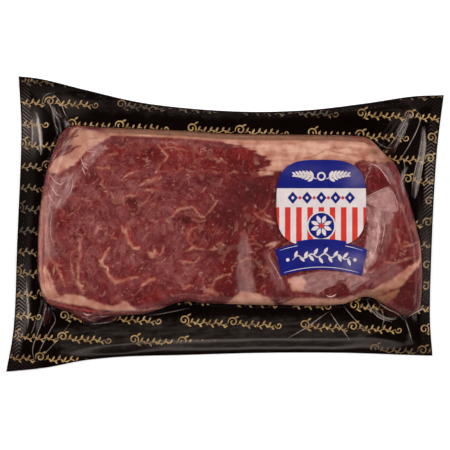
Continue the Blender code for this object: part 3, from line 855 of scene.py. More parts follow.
def flange_fields(points, share, pack_outline):
    """The knurled seal, stronger in the spots where it catches the light and is painted as a pale
    highlight, and the clear film's own gloss, which ends where it is welded to the black.
    """
    lit = np.clip(0.06 + spots(points[:, 0], points[:, 1], SEAL_LIT), 0, 1)
    return {"seal": seal_zone(points, pack_outline) * ease(share, 0.02, 0.2) * lit,
            "shine": (1 - ease(share, 0.02, 0.12)) * (1 - spots(points[:, 0], points[:, 1], DULL_RIM))}


def film_ripple(points, share):
    """Slight waves of the flange, none at the steak or at the pack's edge."""
    x, y = points[:, 0], points[:, 1]
    return 0.12 * noise(x, y, 18, 121, 2) * ease(share, 0.05, 0.3) * (1 - ease(share, 0.8, 1.0))


def flange_rings(border, pack, across, deep):
    """Rings from the steak's border out to the pack's edge, each with its share of the way."""
    edge = loop_of([along(side, shares) for side, shares in zip(pack, (across, deep, across, deep))])
    shares = np.linspace(0, 1, FILM_RINGS + 1)[1:] ** RING_CROWDING
    return edge, [(border * (1 - share) + edge * share, share) for share in shares]


def film_gloss(tree, base, normal, roughness, mirrors):
    """A shader under a film's gloss: least and most mirrored share, times the shine field."""
    gloss = put(tree, "ShaderNodeBsdfGlossy", {"Color": GLOSS_COLOUR, "Roughness": roughness,
                                               "Normal": normal}).outputs[0]
    facing = put(tree, "ShaderNodeLayerWeight", {"Blend": 0.5, "Normal": normal}).outputs["Facing"]
    mirror = shifted(tree, math_of(tree, "POWER", facing, 5.0), mirrors[1], mirrors[0])
    mirror = math_of(tree, "MULTIPLY", mirror, field(tree, "shine"))
    return put(tree, "ShaderNodeMixShader", {0: mirror, 1: base, 2: gloss}).outputs[0]


def black_material():
    """Glossy black film with faint clouds in its black and shallow waves in its gloss."""
    made, tree, shader = new_material("black_back_film", 0.5, 0.0)
    cloud = object_noise(tree, 14, 3.0)
    feed(tree, shader, {"Base Color": ramp(tree, cloud, [(0.3, tint(8, 3, 2)), (0.7, tint(15, 8, 6))])})
    normal = bumped(tree, object_noise(tree, 6.0, 2.0), 0.4, 0.12)
    glossy = film_gloss(tree, shader.outputs[0], normal, 0.2, (0.018, 0.5))
    feed(tree, tree.nodes["Material Output"], {"Surface": glossy})
    return made


def make_back_film():
    """The printed back film as a closed sheet: flat under the steak, curled up to the flange."""
    sides = steak_sides()
    across, deep, plan, _, numbers = net_over_steak(sides, FILM_STEPS, FILM_CELL)
    border = plan[numbers]
    edge, outer = flange_rings(border, pack_sides(), across, deep)
    rings, heights = [], []
    for ring, share in reversed(outer):
        shares = np.full(len(ring), share)
        rings.append(ring)
        heights.append(film_height(ring, np.zeros(len(ring)), shares) + film_ripple(ring, shares))
    for ring, height in belly_rings(sides, across, deep, border):
        rings.append(ring)
        heights.append(height)
    plan, height = np.concatenate(rings), np.concatenate(heights)
    points = np.concatenate([np.column_stack([plan, height + FILM_THICKNESS * BLACK_SHARE]),
                             np.column_stack([plan, height])])
    size, count = len(border), len(plan)
    numbers = [range(start, start + size) for start in range(0, count, size)]
    upper = [face for pair in zip(numbers, numbers[1:]) for face in band_faces(*pair)]
    upper.append(list(numbers[-1]))
    lower = [[n + count for n in reversed(face)] for face in upper]
    rim = band_faces(range(count, count + size), numbers[0])
    shine = np.clip(DULL_SHINE + spots(points[:, 0], points[:, 1], SHINE_LIT), 0, 1.6)
    shine *= 1 - 0.75 * seal_zone(points, edge)
    piece = mesh_piece("back_web", points, upper + lower + rim, black_material(), {"shine": shine})
    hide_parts("back_film")
    return piece


# Patches of painted sheen, a pale colour for the soft reflection where the clear film has lifted off the
# meat and on the flange: how strong the sheen is, how soft the edge is in mm, which way its streaks run
# in degrees, how strong they are, and the outline.
SHEEN_PATCHES = [
    (0.24, 1.4, 60, 0.9, photo(88, 141, 97, 140, 107, 148, 104, 154, 97, 158, 92, 166, 84, 170, 82, 162,
     90, 152)),
    (0.22, 1.6, 70, 0.9, photo(64, 176, 76, 172, 79, 176, 74, 190, 66, 203, 60, 210, 50, 208, 47, 196,
     50, 184, 56, 178)),
    (0.13, 1.8, 88, 0.7, photo(46, 200, 56, 206, 54, 222, 54, 240, 58, 254, 52, 260, 45, 258, 43, 230)),
    (0.17, 1.3, 92, 0.5, photo(244, 229, 248, 234, 251, 246, 253, 266, 255, 292, 246, 295, 236, 292,
     236, 270, 238, 248, 241, 236)),
    (0.09, 1.3, 120, 0.6, photo(262, 250, 268, 250, 280, 272, 288, 292, 278, 291, 268, 272)),
    (0.38, 0.5, 15, 0.35, photo(361, 200, 376, 192, 389, 186, 394, 195, 397, 211, 390, 213, 374, 206)),
    (0.15, 0.8, 130, 0.8, photo(368, 162, 384, 164, 394, 180, 397, 192, 390, 187, 384, 176, 376, 168)),
    (0.27, 0.7, 100, 0.9, photo(364, 204, 380, 208, 395, 214, 391, 222, 385, 225, 380, 240, 376, 262,
     364, 272, 358, 262, 365, 244, 368, 224, 364, 212)),
    (0.08, 1.4, 100, 0.9, photo(386, 225, 395, 216, 392, 236, 384, 252, 378, 262, 381, 242)),
    (0.42, 0.7, 110, 1.0, photo(374, 211, 381, 212, 379, 240, 372, 262, 364, 274, 361, 270, 371, 246)),
    (0.24, 0.5, 20, 0.5, photo(290, 277, 320, 271, 345, 271, 370, 273, 369, 279, 360, 285, 350, 292,
     346, 284, 345, 279, 338, 281, 332, 286, 325, 288, 318, 293, 308, 292, 300, 291, 294, 285)),
    (0.10, 2.0, 30, 0.6, photo(366, 270, 392, 262, 404, 268, 392, 280, 376, 288, 364, 284)),
    (0.020, 3.0, 5, 0.9, photo(52, 330, 120, 322, 240, 316, 340, 318, 380, 330, 360, 344, 240, 348,
     120, 350, 60, 360)),
    (0.014, 3.0, 0, 0.9, photo(40, 92, 110, 98, 220, 108, 330, 106, 410, 98, 412, 104, 330, 114, 220, 118,
     110, 112, 60, 108)),
]
# Wrinkles of the clear film over the meat: height and half width in mm, how strong the painted highlight
# along it is, and a line.
MEAT_WRINKLES = [
    (0.20, 0.34, 0.9, photo(81, 156, 82, 160, 84, 165, 90, 171)),
    (0.16, 0.32, 0.7, photo(84, 149, 90, 152, 97, 151)),
    (0.16, 0.32, 0.8, photo(82, 161, 85, 164, 91, 166)),
    (0.18, 0.32, 0.8, photo(82, 166, 84, 171, 87, 176)),
    (0.20, 0.36, 0.9, photo(49, 170, 52, 177, 56, 182, 61, 184.5, 65, 182, 66, 176)),
    (0.20, 0.36, 0.9, photo(50, 183, 54, 190, 58, 195, 63, 196)),
    (0.18, 0.32, 0.8, photo(48, 190, 51, 198, 55, 203, 59, 204)),
    (0.16, 0.32, 0.5, photo(70, 173, 73, 180, 72, 190, 67, 200)),
    (0.16, 0.30, 0.6, photo(51, 163, 54, 158, 58, 153)),
    (0.14, 0.30, 0.5, photo(66, 147, 70, 144, 74, 141)),
    (0.14, 0.30, 0.5, photo(62, 150, 64, 144, 66, 139)),
    (0.14, 0.32, 0.4, photo(50, 208, 52, 216, 51, 226, 52, 238, 56, 250)),
    (0.20, 0.40, 0.8, photo(366, 164, 376, 166, 383, 173, 389, 183, 390, 186)),
    (0.18, 0.36, 0.3, photo(374, 165, 368, 173, 363, 186, 360, 196)),
    (0.24, 0.45, 0.55, photo(360, 200, 374, 193, 389, 186)),
    (0.22, 0.36, 0.5, photo(390, 187, 395, 198, 397, 211, 390, 213)),
    (0.20, 0.38, 0.6, photo(362, 202, 374, 206, 390, 213)),
    (0.24, 0.45, 0.8, photo(378, 213, 377.5, 230, 376, 246, 368, 268)),
    (0.18, 0.36, 0.5, photo(385, 219, 383, 234, 380, 248)),
    (0.12, 0.32, 0.25, photo(300, 291, 308, 292, 317, 293, 325, 288, 333, 285, 345, 279)),
    (0.24, 0.50, 1.0, photo(325, 294.5, 330, 296.5, 337, 293.5)),
    (0.20, 0.45, 0.9, photo(83, 312, 87, 314.5, 92, 314)),
    (0.20, 0.40, 0.8, photo(99, 316, 105, 316.5, 111, 315)),
    (0.16, 0.40, 0.5, photo(88, 318, 92, 321, 97, 321)),
    (0.14, 0.40, 0.45, photo(266, 253, 272, 263, 279, 275, 284, 286)),
    (0.14, 0.40, 0.35, photo(274, 253, 281, 266, 287, 280)),
    (0.12, 0.36, 0.25, photo(348, 291, 358, 285, 368, 279, 371, 272)),
]
# Folds of the clear film out on the flange, in the same form.
FLANGE_FOLDS = [
    (0.9, 0.36, 0.55, photo(62, 124, 57, 118, 52, 110, 49, 102, 50, 97, 54, 93)),
    (0.9, 0.38, 0.60, photo(68, 119, 64, 112, 61, 104, 57, 98, 53, 94)),
    (0.7, 0.34, 0.45, photo(46, 106, 42, 102, 43, 97, 47, 93.5, 54, 92)),
    (0.5, 0.32, 0.40, photo(62, 118, 56, 112, 50, 105, 46, 99)),
    (0.5, 0.30, 0.30, photo(60, 132, 55, 124, 54, 116, 57, 112)),
    (0.5, 1.30, 0.75, photo(36, 112, 38, 124, 40, 138, 41, 155)),
    (0.4, 0.70, 0.40, photo(31, 118, 32, 134, 31, 148)),
    (0.5, 0.34, 0.45, photo(384, 152, 394, 140, 404, 124, 411, 107)),
    (0.5, 0.34, 0.55, photo(398, 163, 409, 146, 419, 126, 421, 115, 416, 110, 411, 107)),
    (0.5, 2.10, 0.20, photo(414, 198, 416, 184, 419, 168, 423, 148, 424, 126)),
    (0.6, 0.36, 0.55, photo(412, 196, 413, 182, 416, 168, 421, 148, 424, 126)),
    (0.4, 0.32, 0.45, photo(417, 198, 420, 182, 423, 166, 425, 148, 424, 128)),
    (0.4, 1.40, 0.30, photo(404, 196, 402, 182, 404, 172, 408, 166)),
    (0.4, 0.32, 0.45, photo(398, 163, 403, 159, 405, 168, 403, 182)),
    (0.4, 0.30, 0.35, photo(372, 136, 380, 144, 390, 148, 399, 143)),
    (0.4, 1.30, 0.16, photo(392, 152, 400, 138, 408, 122)),
    (0.6, 0.34, 0.95, photo(407, 318, 414, 313, 421, 310, 427, 307)),
    (0.6, 0.30, 0.55, photo(405, 318, 409, 330, 413, 343)),
    (0.5, 0.30, 0.60, photo(330, 311, 320, 318, 306, 328, 287, 339)),
    (0.5, 0.30, 0.65, photo(330, 312, 338, 324, 347, 336, 351, 342)),
    (0.6, 0.32, 0.50, photo(343, 305, 352, 316, 362, 326, 371, 330)),
    (0.6, 0.40, 0.60, photo(366, 297, 372, 310, 380, 318, 392, 322)),
    (0.6, 0.40, 0.60, photo(376, 300, 386, 308, 398, 314, 404, 320)),
    (0.4, 0.90, 0.30, photo(372, 306, 380, 315, 390, 319, 398, 318)),
    (0.4, 0.32, 0.35, photo(382, 330, 384, 318, 380, 306)),
    (0.6, 0.32, 0.45, photo(46, 304, 43, 318, 37, 334, 32, 350, 34, 364)),
    (0.5, 0.32, 0.40, photo(50, 308, 55, 320, 50, 330, 42, 345, 34, 362)),
    (0.5, 0.30, 0.30, photo(72, 320, 62, 334, 48, 350, 36, 362)),
    (0.5, 0.80, 0.45, photo(26, 281, 27, 298, 28, 314, 27, 328)),
    (0.4, 0.32, 0.30, photo(36, 318, 33, 328, 30, 336)),
    (0.3, 0.30, 0.30, photo(190, 308, 176, 311, 160, 314, 146, 316)),
]


def clear_height(points, inside, share):
    """The clear film: just over the meat, round its edge, and down onto the flange."""
    over = steak_top(points, np.maximum(inside, 0)) + CLEAR_OVER_MEAT
    rim = FLANGE_HEIGHT + FILM_THICKNESS + TOUCH_GAP + SIDE_HEIGHT + CLEAR_OVER_MEAT
    base = film_height(points, np.maximum(inside, 0), np.maximum(share, 1e-6)) + FILM_THICKNESS
    outside = np.maximum(-inside, 0)
    falling = base + film_ripple(points, share) + (rim - base) * (1 - ease(outside, 0.0, WRAP_WIDTH))
    return np.where(share > 0, falling, over)


def clear_material(name, roughness, mirrors, sheen_colour):
    """Clear film with a knurled seal in the flange, and painted sheen: a pale diffuse colour mixed in where
    the film has lifted, along folds and on the lit seal lines.
    """
    made = bpy.data.materials.new(name)
    made.use_nodes = True
    tree = made.node_tree
    tree.nodes.remove(tree.nodes["Principled BSDF"])
    place = put(tree, "ShaderNodeTexCoord").outputs["Object"]
    across, along_edge, _ = put(tree, "ShaderNodeSeparateXYZ", {"Vector": place}).outputs
    out = math_of(tree, "SUBTRACT", math_of(tree, "ABSOLUTE", across), KNURL_MIDDLE * MM)
    chevron = shifted(tree, math_of(tree, "ABSOLUTE", out), KNURL_SLOPE, along_edge)
    wave = math_of(tree, "SINE", math_of(tree, "MULTIPLY", chevron, 2 * math.pi / (KNURL_PITCH * MM)))
    lines = math_of(tree, "POWER", shifted(tree, wave, 0.5, 0.5), 3.0)
    knurl = math_of(tree, "MULTIPLY", lines, field(tree, "seal"))
    height = shifted(tree, object_noise(tree, 6.0, 2.0), 0.5, math_of(tree, "MULTIPLY", knurl, 0.25))
    normal = bumped(tree, height, 0.4, 0.12)
    clear = put(tree, "ShaderNodeBsdfTransparent", {"Color": (0.985, 0.98, 0.98, 1)}).outputs[0]
    film = film_gloss(tree, clear, normal, roughness, mirrors)
    # Painted sheen and highlight: where the sheen field, times a cloud, and the knurl lines say, a pale
    # diffuse colour is mixed in.
    cloud = shifted(tree, object_noise(tree, 2.6, 2.5, 0.5), 1.4, 0.3)
    painted_sheen_amount = shifted(tree, knurl, 0.42, math_of(tree, "MULTIPLY", field(tree, "painted_sheen"), cloud), clamp=True)
    white = put(tree, "ShaderNodeBsdfDiffuse", {"Color": sheen_colour, "Normal": normal}).outputs[0]
    result = put(tree, "ShaderNodeMixShader", {0: painted_sheen_amount, 1: film, 2: white}).outputs[0]
    feed(tree, tree.nodes["Material Output"], {"Surface": result})
    return made


def painted_sheen_field(plan):
    """The painted sheen of the clear film at each point: soft streaky patches where it has lifted and on
    the flange.
    """
    x, y = plan[:, 0], plan[:, 1]
    painted_sheen = np.zeros(len(x))
    ragged = 0.7 * noise(x, y, 3, 131, 3)
    for amount, soft, angle, streaky, shape in SHEEN_PATCHES:
        turn = math.radians(angle)
        a = x * math.cos(turn) + y * math.sin(turn)
        b = y * math.cos(turn) - x * math.sin(turn)
        streak = 1 + streaky * noise(a * 0.18, b, 1.6, 141 + angle, 3)
        inner = ease(outline_distance(plan, shape) + ragged * soft, -soft * 0.5, soft)
        painted_sheen = np.maximum(painted_sheen, amount * inner * np.clip(streak, 0.1, 2))
    return painted_sheen


def make_clear_film(tight, loose):
    """The clear film as one sheet over the meat and the flange."""
    across, deep, plan, faces, border = net_over_steak(steak_sides(), FILM_STEPS, FILM_CELL)
    outline = plan[border]
    edge, outer = flange_rings(outline, pack_sides(), across, deep)
    over_meat = len(faces) + TIGHT_RINGS * len(border)
    plans, shares = [plan], [np.zeros(len(plan))]
    last, count, size = border, len(plan), len(border)
    for ring, share in outer:
        plans.append(ring)
        shares.append(np.full(size, share))
        numbers = range(count, count + size)
        faces += [[last[k - 1], numbers[k - 1], numbers[k], last[k]] for k in [*range(1, size), 0]]
        last = numbers
        count += size
    plan, share = np.concatenate(plans), np.concatenate(shares)
    inside = outline_distance(plan, outline)
    inside[border] = 0
    height = clear_height(plan, inside, share) + CLEAR_LIFT
    fields = {"painted_sheen": painted_sheen_field(plan), **flange_fields(plan, share, edge)}
    piece = mesh_piece("clear_web", np.column_stack([plan, height]), faces, tight, fields)
    set_looks(piece, [tight, loose], np.repeat([0, 1], [over_meat, len(faces) - over_meat]))
    return piece


def surface_under(piece):
    """A function that finds the height of a piece, in mm, at a place in mm."""
    faces = [face.vertices for face in piece.data.polygons]
    tree = BVHTree.FromPolygons([vertex.co for vertex in piece.data.vertices], faces)

    def height(x, y):
        hit = tree.ray_cast(Vector((x * MM, y * MM, 0.1)), Vector((0, 0, -1)))[0]
        return None if hit is None else hit.z / MM
    return height


# A printed shape or a ridge lies this far over the surface under it, in mm.
LIFT = 0.03
RIDGE_STEP = 0.5
RIDGE_PROFILE = np.linspace(-1, 1, 9)


def sideways_of(line):
    """The direction to the left of a line at each of its points."""
    heading = np.gradient(line, axis=0)
    heading /= np.maximum(np.linalg.norm(heading, axis=1), 1e-9)[:, None]
    return np.stack([-heading[:, 1], heading[:, 0]], axis=1)


def ridge_rows(height, half_width, line, ground):
    """Rows of points across one ridge, which swells from its ends to its middle."""
    curve = smooth_line(line, parts=14)
    length = np.linalg.norm(np.diff(curve, axis=0), axis=1).sum()
    places = along(curve, np.linspace(0, 1, max(6, round(length / RIDGE_STEP))))
    rows = []
    for k, (place, side) in enumerate(zip(places, sideways_of(places))):
        share = min(max(k / (len(places) - 1), 0.02), 0.98)
        swell = math.sin(math.pi * share) ** 0.6
        row = []
        for p in RIDGE_PROFILE:
            x, y = place + side * p * half_width * (0.35 + 0.65 * swell)
            z = ground(x, y)
            if z is not None:
                row.append((x, y, z + LIFT + height * swell * math.cos(p * math.pi / 2) ** 1.5))
        if len(row) == len(RIDGE_PROFILE):
            rows.append(row)
    return rows


def ridge_strips(name, folds, ground, look):
    """Wrinkles and folds as ridges that rise out of a surface along their lines, with a painted highlight
    down their middles.
    """
    points, faces, painted_sheen_amount = [], [], []
    wide = len(RIDGE_PROFILE)
    for height, half_width, highlight_strength, line in folds:
        rows = ridge_rows(height, half_width, line, ground)
        for k, row in enumerate(rows):
            base = len(points)
            points += row
            fade = min(1, 4 * k / len(rows), 4 * (len(rows) - 1 - k) / len(rows))
            painted_sheen_amount += [highlight_strength * fade * (1 - abs(p)) for p in RIDGE_PROFILE]
            if k:
                faces += [[n - wide + 1, n + 1, n, n - wide] for n in range(base, base + wide - 1)]
    fields = {"painted_sheen": painted_sheen_amount, "seal": np.zeros(len(painted_sheen_amount)), "shine": np.ones(len(painted_sheen_amount))}
    piece = mesh_piece(name, points, faces, look, fields)
    return piece


# Flat printed shapes: each one is a middle line and its width at every point of it

def pen(points, width):
    """A line drawn with one width, fading at its two ends."""
    line = np.array(points, float)
    ends = np.minimum(np.linspace(0, 6, len(line)), np.linspace(6, 0, len(line)))
    return line, width * np.clip(ends + 0.3, 0, 1)


def leaf(x, y, turn, length, width):
    """A pointed leaf that starts at a place and runs at an angle in degrees."""
    t = np.linspace(0, 1, 7)
    angle = math.radians(turn)
    line = np.stack([x + length * t * math.cos(angle), y + length * t * math.sin(angle)], axis=1)
    return line, width * np.sin(math.pi * t) ** 0.8


def disc(x, y, radius):
    """A round spot."""
    t = np.cos(np.linspace(math.pi, 0, 15))
    line = np.stack([x + radius * t, np.full(len(t), y)], axis=1)
    return line, 2 * radius * np.sqrt(np.maximum(1 - t * t, 0))


def lozenge(x, y, wide, high):
    """A diamond standing on its point."""
    t = np.linspace(-1, 1, 5)
    return np.stack([x + wide / 2 * t, np.full(len(t), y)], axis=1), high * (1 - np.abs(t))


def curl(x, y, start, size, turns, width, count=26):
    """A spiral that winds inwards about a middle from an angle in degrees."""
    line = []
    for k in range(count + 1):
        t = k / count
        angle = math.radians(start) + turns * 2 * math.pi * t
        radius = size * (1 - 0.78 * t)
        line.append((x + radius * math.cos(angle), y + radius * math.sin(angle)))
    return pen(line, width)


def shape_edges(shape):
    """The two edges of a shape, left then right of its middle line."""
    line, widths = shape
    side = sideways_of(line) * widths[:, None] / 2
    return np.concatenate([line + side, line - side])


# The gold print: a generic vine in slanting rows

PRINT_PITCH = 21.4 * PIXEL
PRINT_REPEAT = 120.5 * PIXEL
PRINT_STARTS = (-10.0, -59.0, 12.0)
PRINT_MIDDLE_ROW = 113.8
PRINT_SLOPE = -0.038
PRINT_ROWS = range(-2, 14)
PRINT_COPIES = range(-1, 5)
PACK_REACH = np.array([116.0, 79.0])
STEMS = ((5.4, 25.6), (30.6, 50.8))
STEM_WAVE = 6.2
STEM_HEIGHT = 0.55
STEM_LEVEL = 1.9
LEAF_PITCH = 1.55
LEAST_VINE = 0.3
# The plain band along the near edge ends at this line, and in these spots the ink is darkened with painted
# shade.
NEAR_BAND = photo(60, 366, 110, 357, 165, 345, 202, 342, 230, 340.6, 284, 340.3, 337, 344.7, 386, 353,
                  430, 362)
PRINT_SHADE_SPOTS = [
    (40, 84, 50, 8, 0.9), (150, 106, 60, 9, 0.95), (250, 112, 60, 8, 0.95), (330, 112, 40, 10, 0.7),
    (24, 216, 22, 58, 0.9), (420, 96, 50, 8, 0.8), (430, 240, 12, 50, 0.6), (400, 350, 50, 9, 0.8),
    (352, 336, 30, 8, 0.5), (20, 352, 20, 9, 0.7), (120, 350, 40, 10, 0.7), (250, 318, 50, 8, 0.4),
]


def stem_height(x):
    """How high the waving stem is at x."""
    return STEM_LEVEL + STEM_HEIGHT * math.sin(2 * math.pi * x / STEM_WAVE)


def vine():
    """One printed flourish in mm: a waving stem with leaves between three larger curls."""
    shapes = [curl(3.0, 3.2, -70, 2.7, 1.35, 0.62), leaf(4.6, 1.0, -25, 2.6, 0.9),
              leaf(4.4, 5.2, 35, 2.6, 0.9), curl(28.4, 3.2, 200, 2.6, -1.3, 0.62),
              leaf(29.4, 5.3, 20, 2.4, 0.9), leaf(26.0, 1.0, 195, 2.2, 0.8),
              curl(52.4, 2.2, 180, 1.8, 1.1, 0.5)]
    for start, end in STEMS:
        count = round((end - start) / 0.4)
        across = [start + (end - start) * k / count for k in range(count + 1)]
        shapes.append(pen([(x, stem_height(x)) for x in across], 0.42))
        for k in range(round((end - start - 1.5) / LEAF_PITCH)):
            x = start + 1.0 + LEAF_PITCH * k
            turn, length = ((62, 2.7), (-50, 2.1))[k % 2]
            shapes.append(leaf(x, stem_height(x), turn, length, 0.95))
    return shapes


def gold_material():
    """Matt gold ink, a little uneven, and darker brown where painted shade falls on it."""
    made, tree, shader = new_material("gold_ink", 0.5, 0.3)
    uneven = object_noise(tree, 5.0, 3.0)
    shade = ramp(tree, uneven, [(0.3, tint(132, 98, 54)), (0.5, tint(176, 138, 84)),
                                (0.75, tint(208, 174, 116))])
    feed(tree, shader, {"Base Color": blended(tree, field(tree, "print_shade"), shade, tint(34, 22, 14)),
                        "Normal": bumped(tree, object_noise(tree, 0.5, 2.0), 0.3, 0.03)})
    return made


def print_place(row, copy, points):
    """Points of a vine moved to its row and turned with the whole print."""
    (x, y), = photo(PRINT_STARTS[row % len(PRINT_STARTS)], PRINT_MIDDLE_ROW)
    moved = points + (x + copy * PRINT_REPEAT, y - row * PRINT_PITCH)
    turn = math.atan(PRINT_SLOPE)
    return np.stack([moved[:, 0] * math.cos(turn) - moved[:, 1] * math.sin(turn),
                     moved[:, 0] * math.sin(turn) + moved[:, 1] * math.cos(turn)], axis=1)


def above_band(points):
    """Which points lie beyond the plain band along the near edge."""
    return points[:, 1] > np.interp(points[:, 0], *np.array(NEAR_BAND).T)


def make_print(ground):
    """Rows of vines as thin shapes on the flange, cut off where the steak or the pack's edge is."""
    steak, pack = loop_of(steak_sides())[::OUTLINE_STEP], loop_of(pack_sides())[::3]
    points, faces = [], []
    shapes = [(shape_edges(shape), len(shape[0])) for shape in vine()]
    whole = np.concatenate([edges for edges, _ in shapes])
    places = [(row, copy) for row in PRINT_ROWS for copy in PRINT_COPIES]
    for place in places:
        if above_band(print_place(*place, whole)).mean() < LEAST_VINE:
            continue
        for edges, count in shapes:
            placed = print_place(*place, edges)
            if (placed.min(0) > PACK_REACH).any() or (placed.max(0) < -PACK_REACH).any():
                continue
            fits = (outline_distance(placed, pack) > 0.35) & (outline_distance(placed, steak) < -0.2)
            fits &= above_band(placed)
            heights = [ground(x, y) if ok else None for (x, y), ok in zip(placed, fits)]
            base = len(points)
            points += [(x, y, (z or 0) + LIFT) for (x, y), z in zip(placed, heights)]
            faces += [face for face in strip_faces(base, count)
                      if all(heights[n - base] is not None for n in face)]
    points, faces = only_used(points, faces)
    # Painted shade on the print, in soft spots.
    print_shade = np.clip(spots(points[:, 0], points[:, 1], PRINT_SHADE_SPOTS), 0, 0.9)
    piece = mesh_piece("gold_print", points, faces, gold_material(), {"print_shade": print_shade})
    return piece


def only_used(points, faces):
    """The points that some face uses, and the faces with their new numbers."""
    used = sorted({n for face in faces for n in face})
    renumber = {n: i for i, n in enumerate(used)}
    return np.array(points)[used], [[renumber[n] for n in face] for face in faces]


# Dark juice under the clear film

JUICE_RINGS = [0.0, 0.12, 0.28, 0.5, 0.75, 0.999]
# Each pool is how deep it is in mm, how strong its colour is, and its outline.
JUICE_POOLS = [
    (1.1, 0.95, photo(76, 309, 84, 310.5, 100, 312.5, 116, 313, 126, 314, 118, 318, 112, 323, 104, 325,
     92, 325.5, 84, 321, 78, 315)),
    (0.5, 0.9, photo(371, 299, 384, 306, 396, 310, 402, 314, 398, 318, 384, 313, 374, 306)),
    (0.4, 0.55, photo(72, 126, 66, 128, 60, 120, 57, 112, 60, 108, 66, 116, 72, 122)),
    (0.6, 0.7, photo(45, 303, 50, 306, 52, 316, 48, 324, 42, 326, 42, 314)),
    (0.5, 0.7, photo(386, 152, 392, 142, 398, 132, 402, 134, 398, 146, 392, 156)),
    (0.4, 0.8, photo(406, 112, 409, 110, 413, 114, 412, 119, 407, 118)),
]


def juice_material():
    """Thin dark red juice, see-through at its edge."""
    made, tree, shader = new_material("meat_juice", 0.22, 0.4)
    deep = ramp(tree, object_noise(tree, 5, 2.0), [(0.3, tint(38, 8, 9)), (0.7, tint(70, 19, 20))])
    thin = shifted(tree, field(tree, "depth"), 1.0, 0.0, clamp=True)
    feed(tree, shader, {"Base Color": deep, "Alpha": thin})
    return made


def make_juice(ground):
    """Pools of juice between the two films, as low domes that thin out at their edges."""
    points, faces, depths = [], [], []
    for depth, strength, shape in JUICE_POOLS:
        outline = smooth_line([*shape, shape[0]], shape[-1], shape[1], parts=6)[:-1]
        middle = outline.mean(0)
        last = None
        for share in JUICE_RINGS:
            plan = outline * (1 - share) + middle * share
            numbers = range(len(points), len(points) + len(outline))
            for (x, y), far in zip(plan, np.maximum(outline_distance(plan, outline), 0)):
                points.append((x, y, (ground(x, y) or 0) + 0.04 + depth * min(far / 2.5, 1) ** 0.6))
                depths.append(strength * (0.15 + 0.85 * min(far / 1.8, 1)))
            if last:
                faces += band_faces(last, numbers)
            last = numbers
    piece = mesh_piece("juice_pools", points, faces, juice_material(), {"depth": depths})
    return piece


# The label: its outline is the solid model's, in mm from its own centre

LABEL_CENTRE = (49.9, 3.1)
LABEL_THICKNESS = 0.25
LABEL_GAP = 0.4
BADGE_MIDDLE = 7.8
BADGE_HALF_WIDTH = 23.2
BADGE_HALF_HEIGHT = 22.4
BADGE_FULLNESS = 3.2
BANNER_TOP = -12.0
BANNER_HEIGHT = 14.6
BANNER_RISE = 4.4
BANNER_TOP_HALF_WIDTH = 23.8
BANNER_LOW_HALF_WIDTH = 20.8
BADGE_PARTS = 88
BANNER_PARTS = 24
LABEL_CELL = 1.6


def banner_edge(x, top):
    """The height of the banner's arched upper edge at x, measured down from its top."""
    return top - BANNER_RISE * (x / BANNER_TOP_HALF_WIDTH) ** 2


def label_outline():
    """The sticker's outline, anticlockwise: the badge down to the banner, then round the banner."""
    badge = []
    for turn in np.linspace(-math.pi / 2, 1.5 * math.pi, BADGE_PARTS, endpoint=False):
        side, rise = math.cos(turn), math.sin(turn)
        x = BADGE_HALF_WIDTH * math.copysign(abs(side) ** (2 / BADGE_FULLNESS), side)
        y = BADGE_MIDDLE + BADGE_HALF_HEIGHT * math.copysign(abs(rise) ** (2 / BADGE_FULLNESS), rise)
        if y > banner_edge(x, BANNER_TOP):
            badge.append((x, y))
    foot = badge[0][0]
    out = np.linspace(foot, BANNER_TOP_HALF_WIDTH, 6)
    left = [(-x, banner_edge(x, BANNER_TOP)) for x in out]
    low = [(x, banner_edge(x, BANNER_TOP - BANNER_HEIGHT))
           for x in np.linspace(-BANNER_LOW_HALF_WIDTH, BANNER_LOW_HALF_WIDTH, BANNER_PARTS)]
    right = [(x, banner_edge(x, BANNER_TOP)) for x in reversed(out)]
    return np.array([*badge, *left, *low, *right])


def label_material(name, colour, second):
    """Glossy printed paper in one ink, slightly uneven, paler where it catches the light."""
    made, tree, shader = new_material(name, 0.3, 0.4)
    cloud = object_noise(tree, 6, 3.0)
    shade = ramp(tree, cloud, [(0.3, colour), (0.7, second)])
    feed(tree, shader, {"Base Color": blended(tree, field(tree, "sheen"), shade, tint(176, 160, 176)),
                        "Normal": bumped(tree, object_noise(tree, 0.6, 2.0), 0.15, 0.03)})
    return made


# The blue field ends at the first line and the bars begin at the second.
FIELD_LINE = 15.4
BAND_LINE = 5.6
BAR_WIDTH = 2.9
LABEL_SHEEN = [(356, 176, 12, 11, 0.24), (300, 170, 22, 5, 0.06), (352, 262, 15, 9, 0.26),
               (318, 256, 14, 5, 0.10)]
BLUE, CREAM, RED = range(3)
LAUREL_LEVEL = 20.2
RING_LEVEL = 21.6
DIAMOND_LEVEL = 10.5
DIAMOND_PITCH = 7.4
ROSETTE_LEVEL = -4.0
SPRAY_WAVE = 0.9


def label_ink(x, y):
    """Which ink is at a place on the label."""
    if y < banner_edge(x, BANNER_TOP) or y > FIELD_LINE:
        return BLUE
    if y > BAND_LINE:
        return CREAM
    return RED if math.floor(x / BAR_WIDTH + 0.5) % 2 == 0 else CREAM


def label_height(places):
    """The underside of the label over places on the face."""
    steak = loop_of(steak_sides())[::OUTLINE_STEP]
    return steak_top(places, outline_distance(places, steak)) + LABEL_GAP


def label_sheen(points):
    """How pale the gloss makes the label at each point."""
    x, y = points[:, 0], points[:, 1]
    return np.clip(spots(x, y, LABEL_SHEEN) * (1 + 0.6 * noise(x, y, 4, 151, 2)), 0, 0.6)


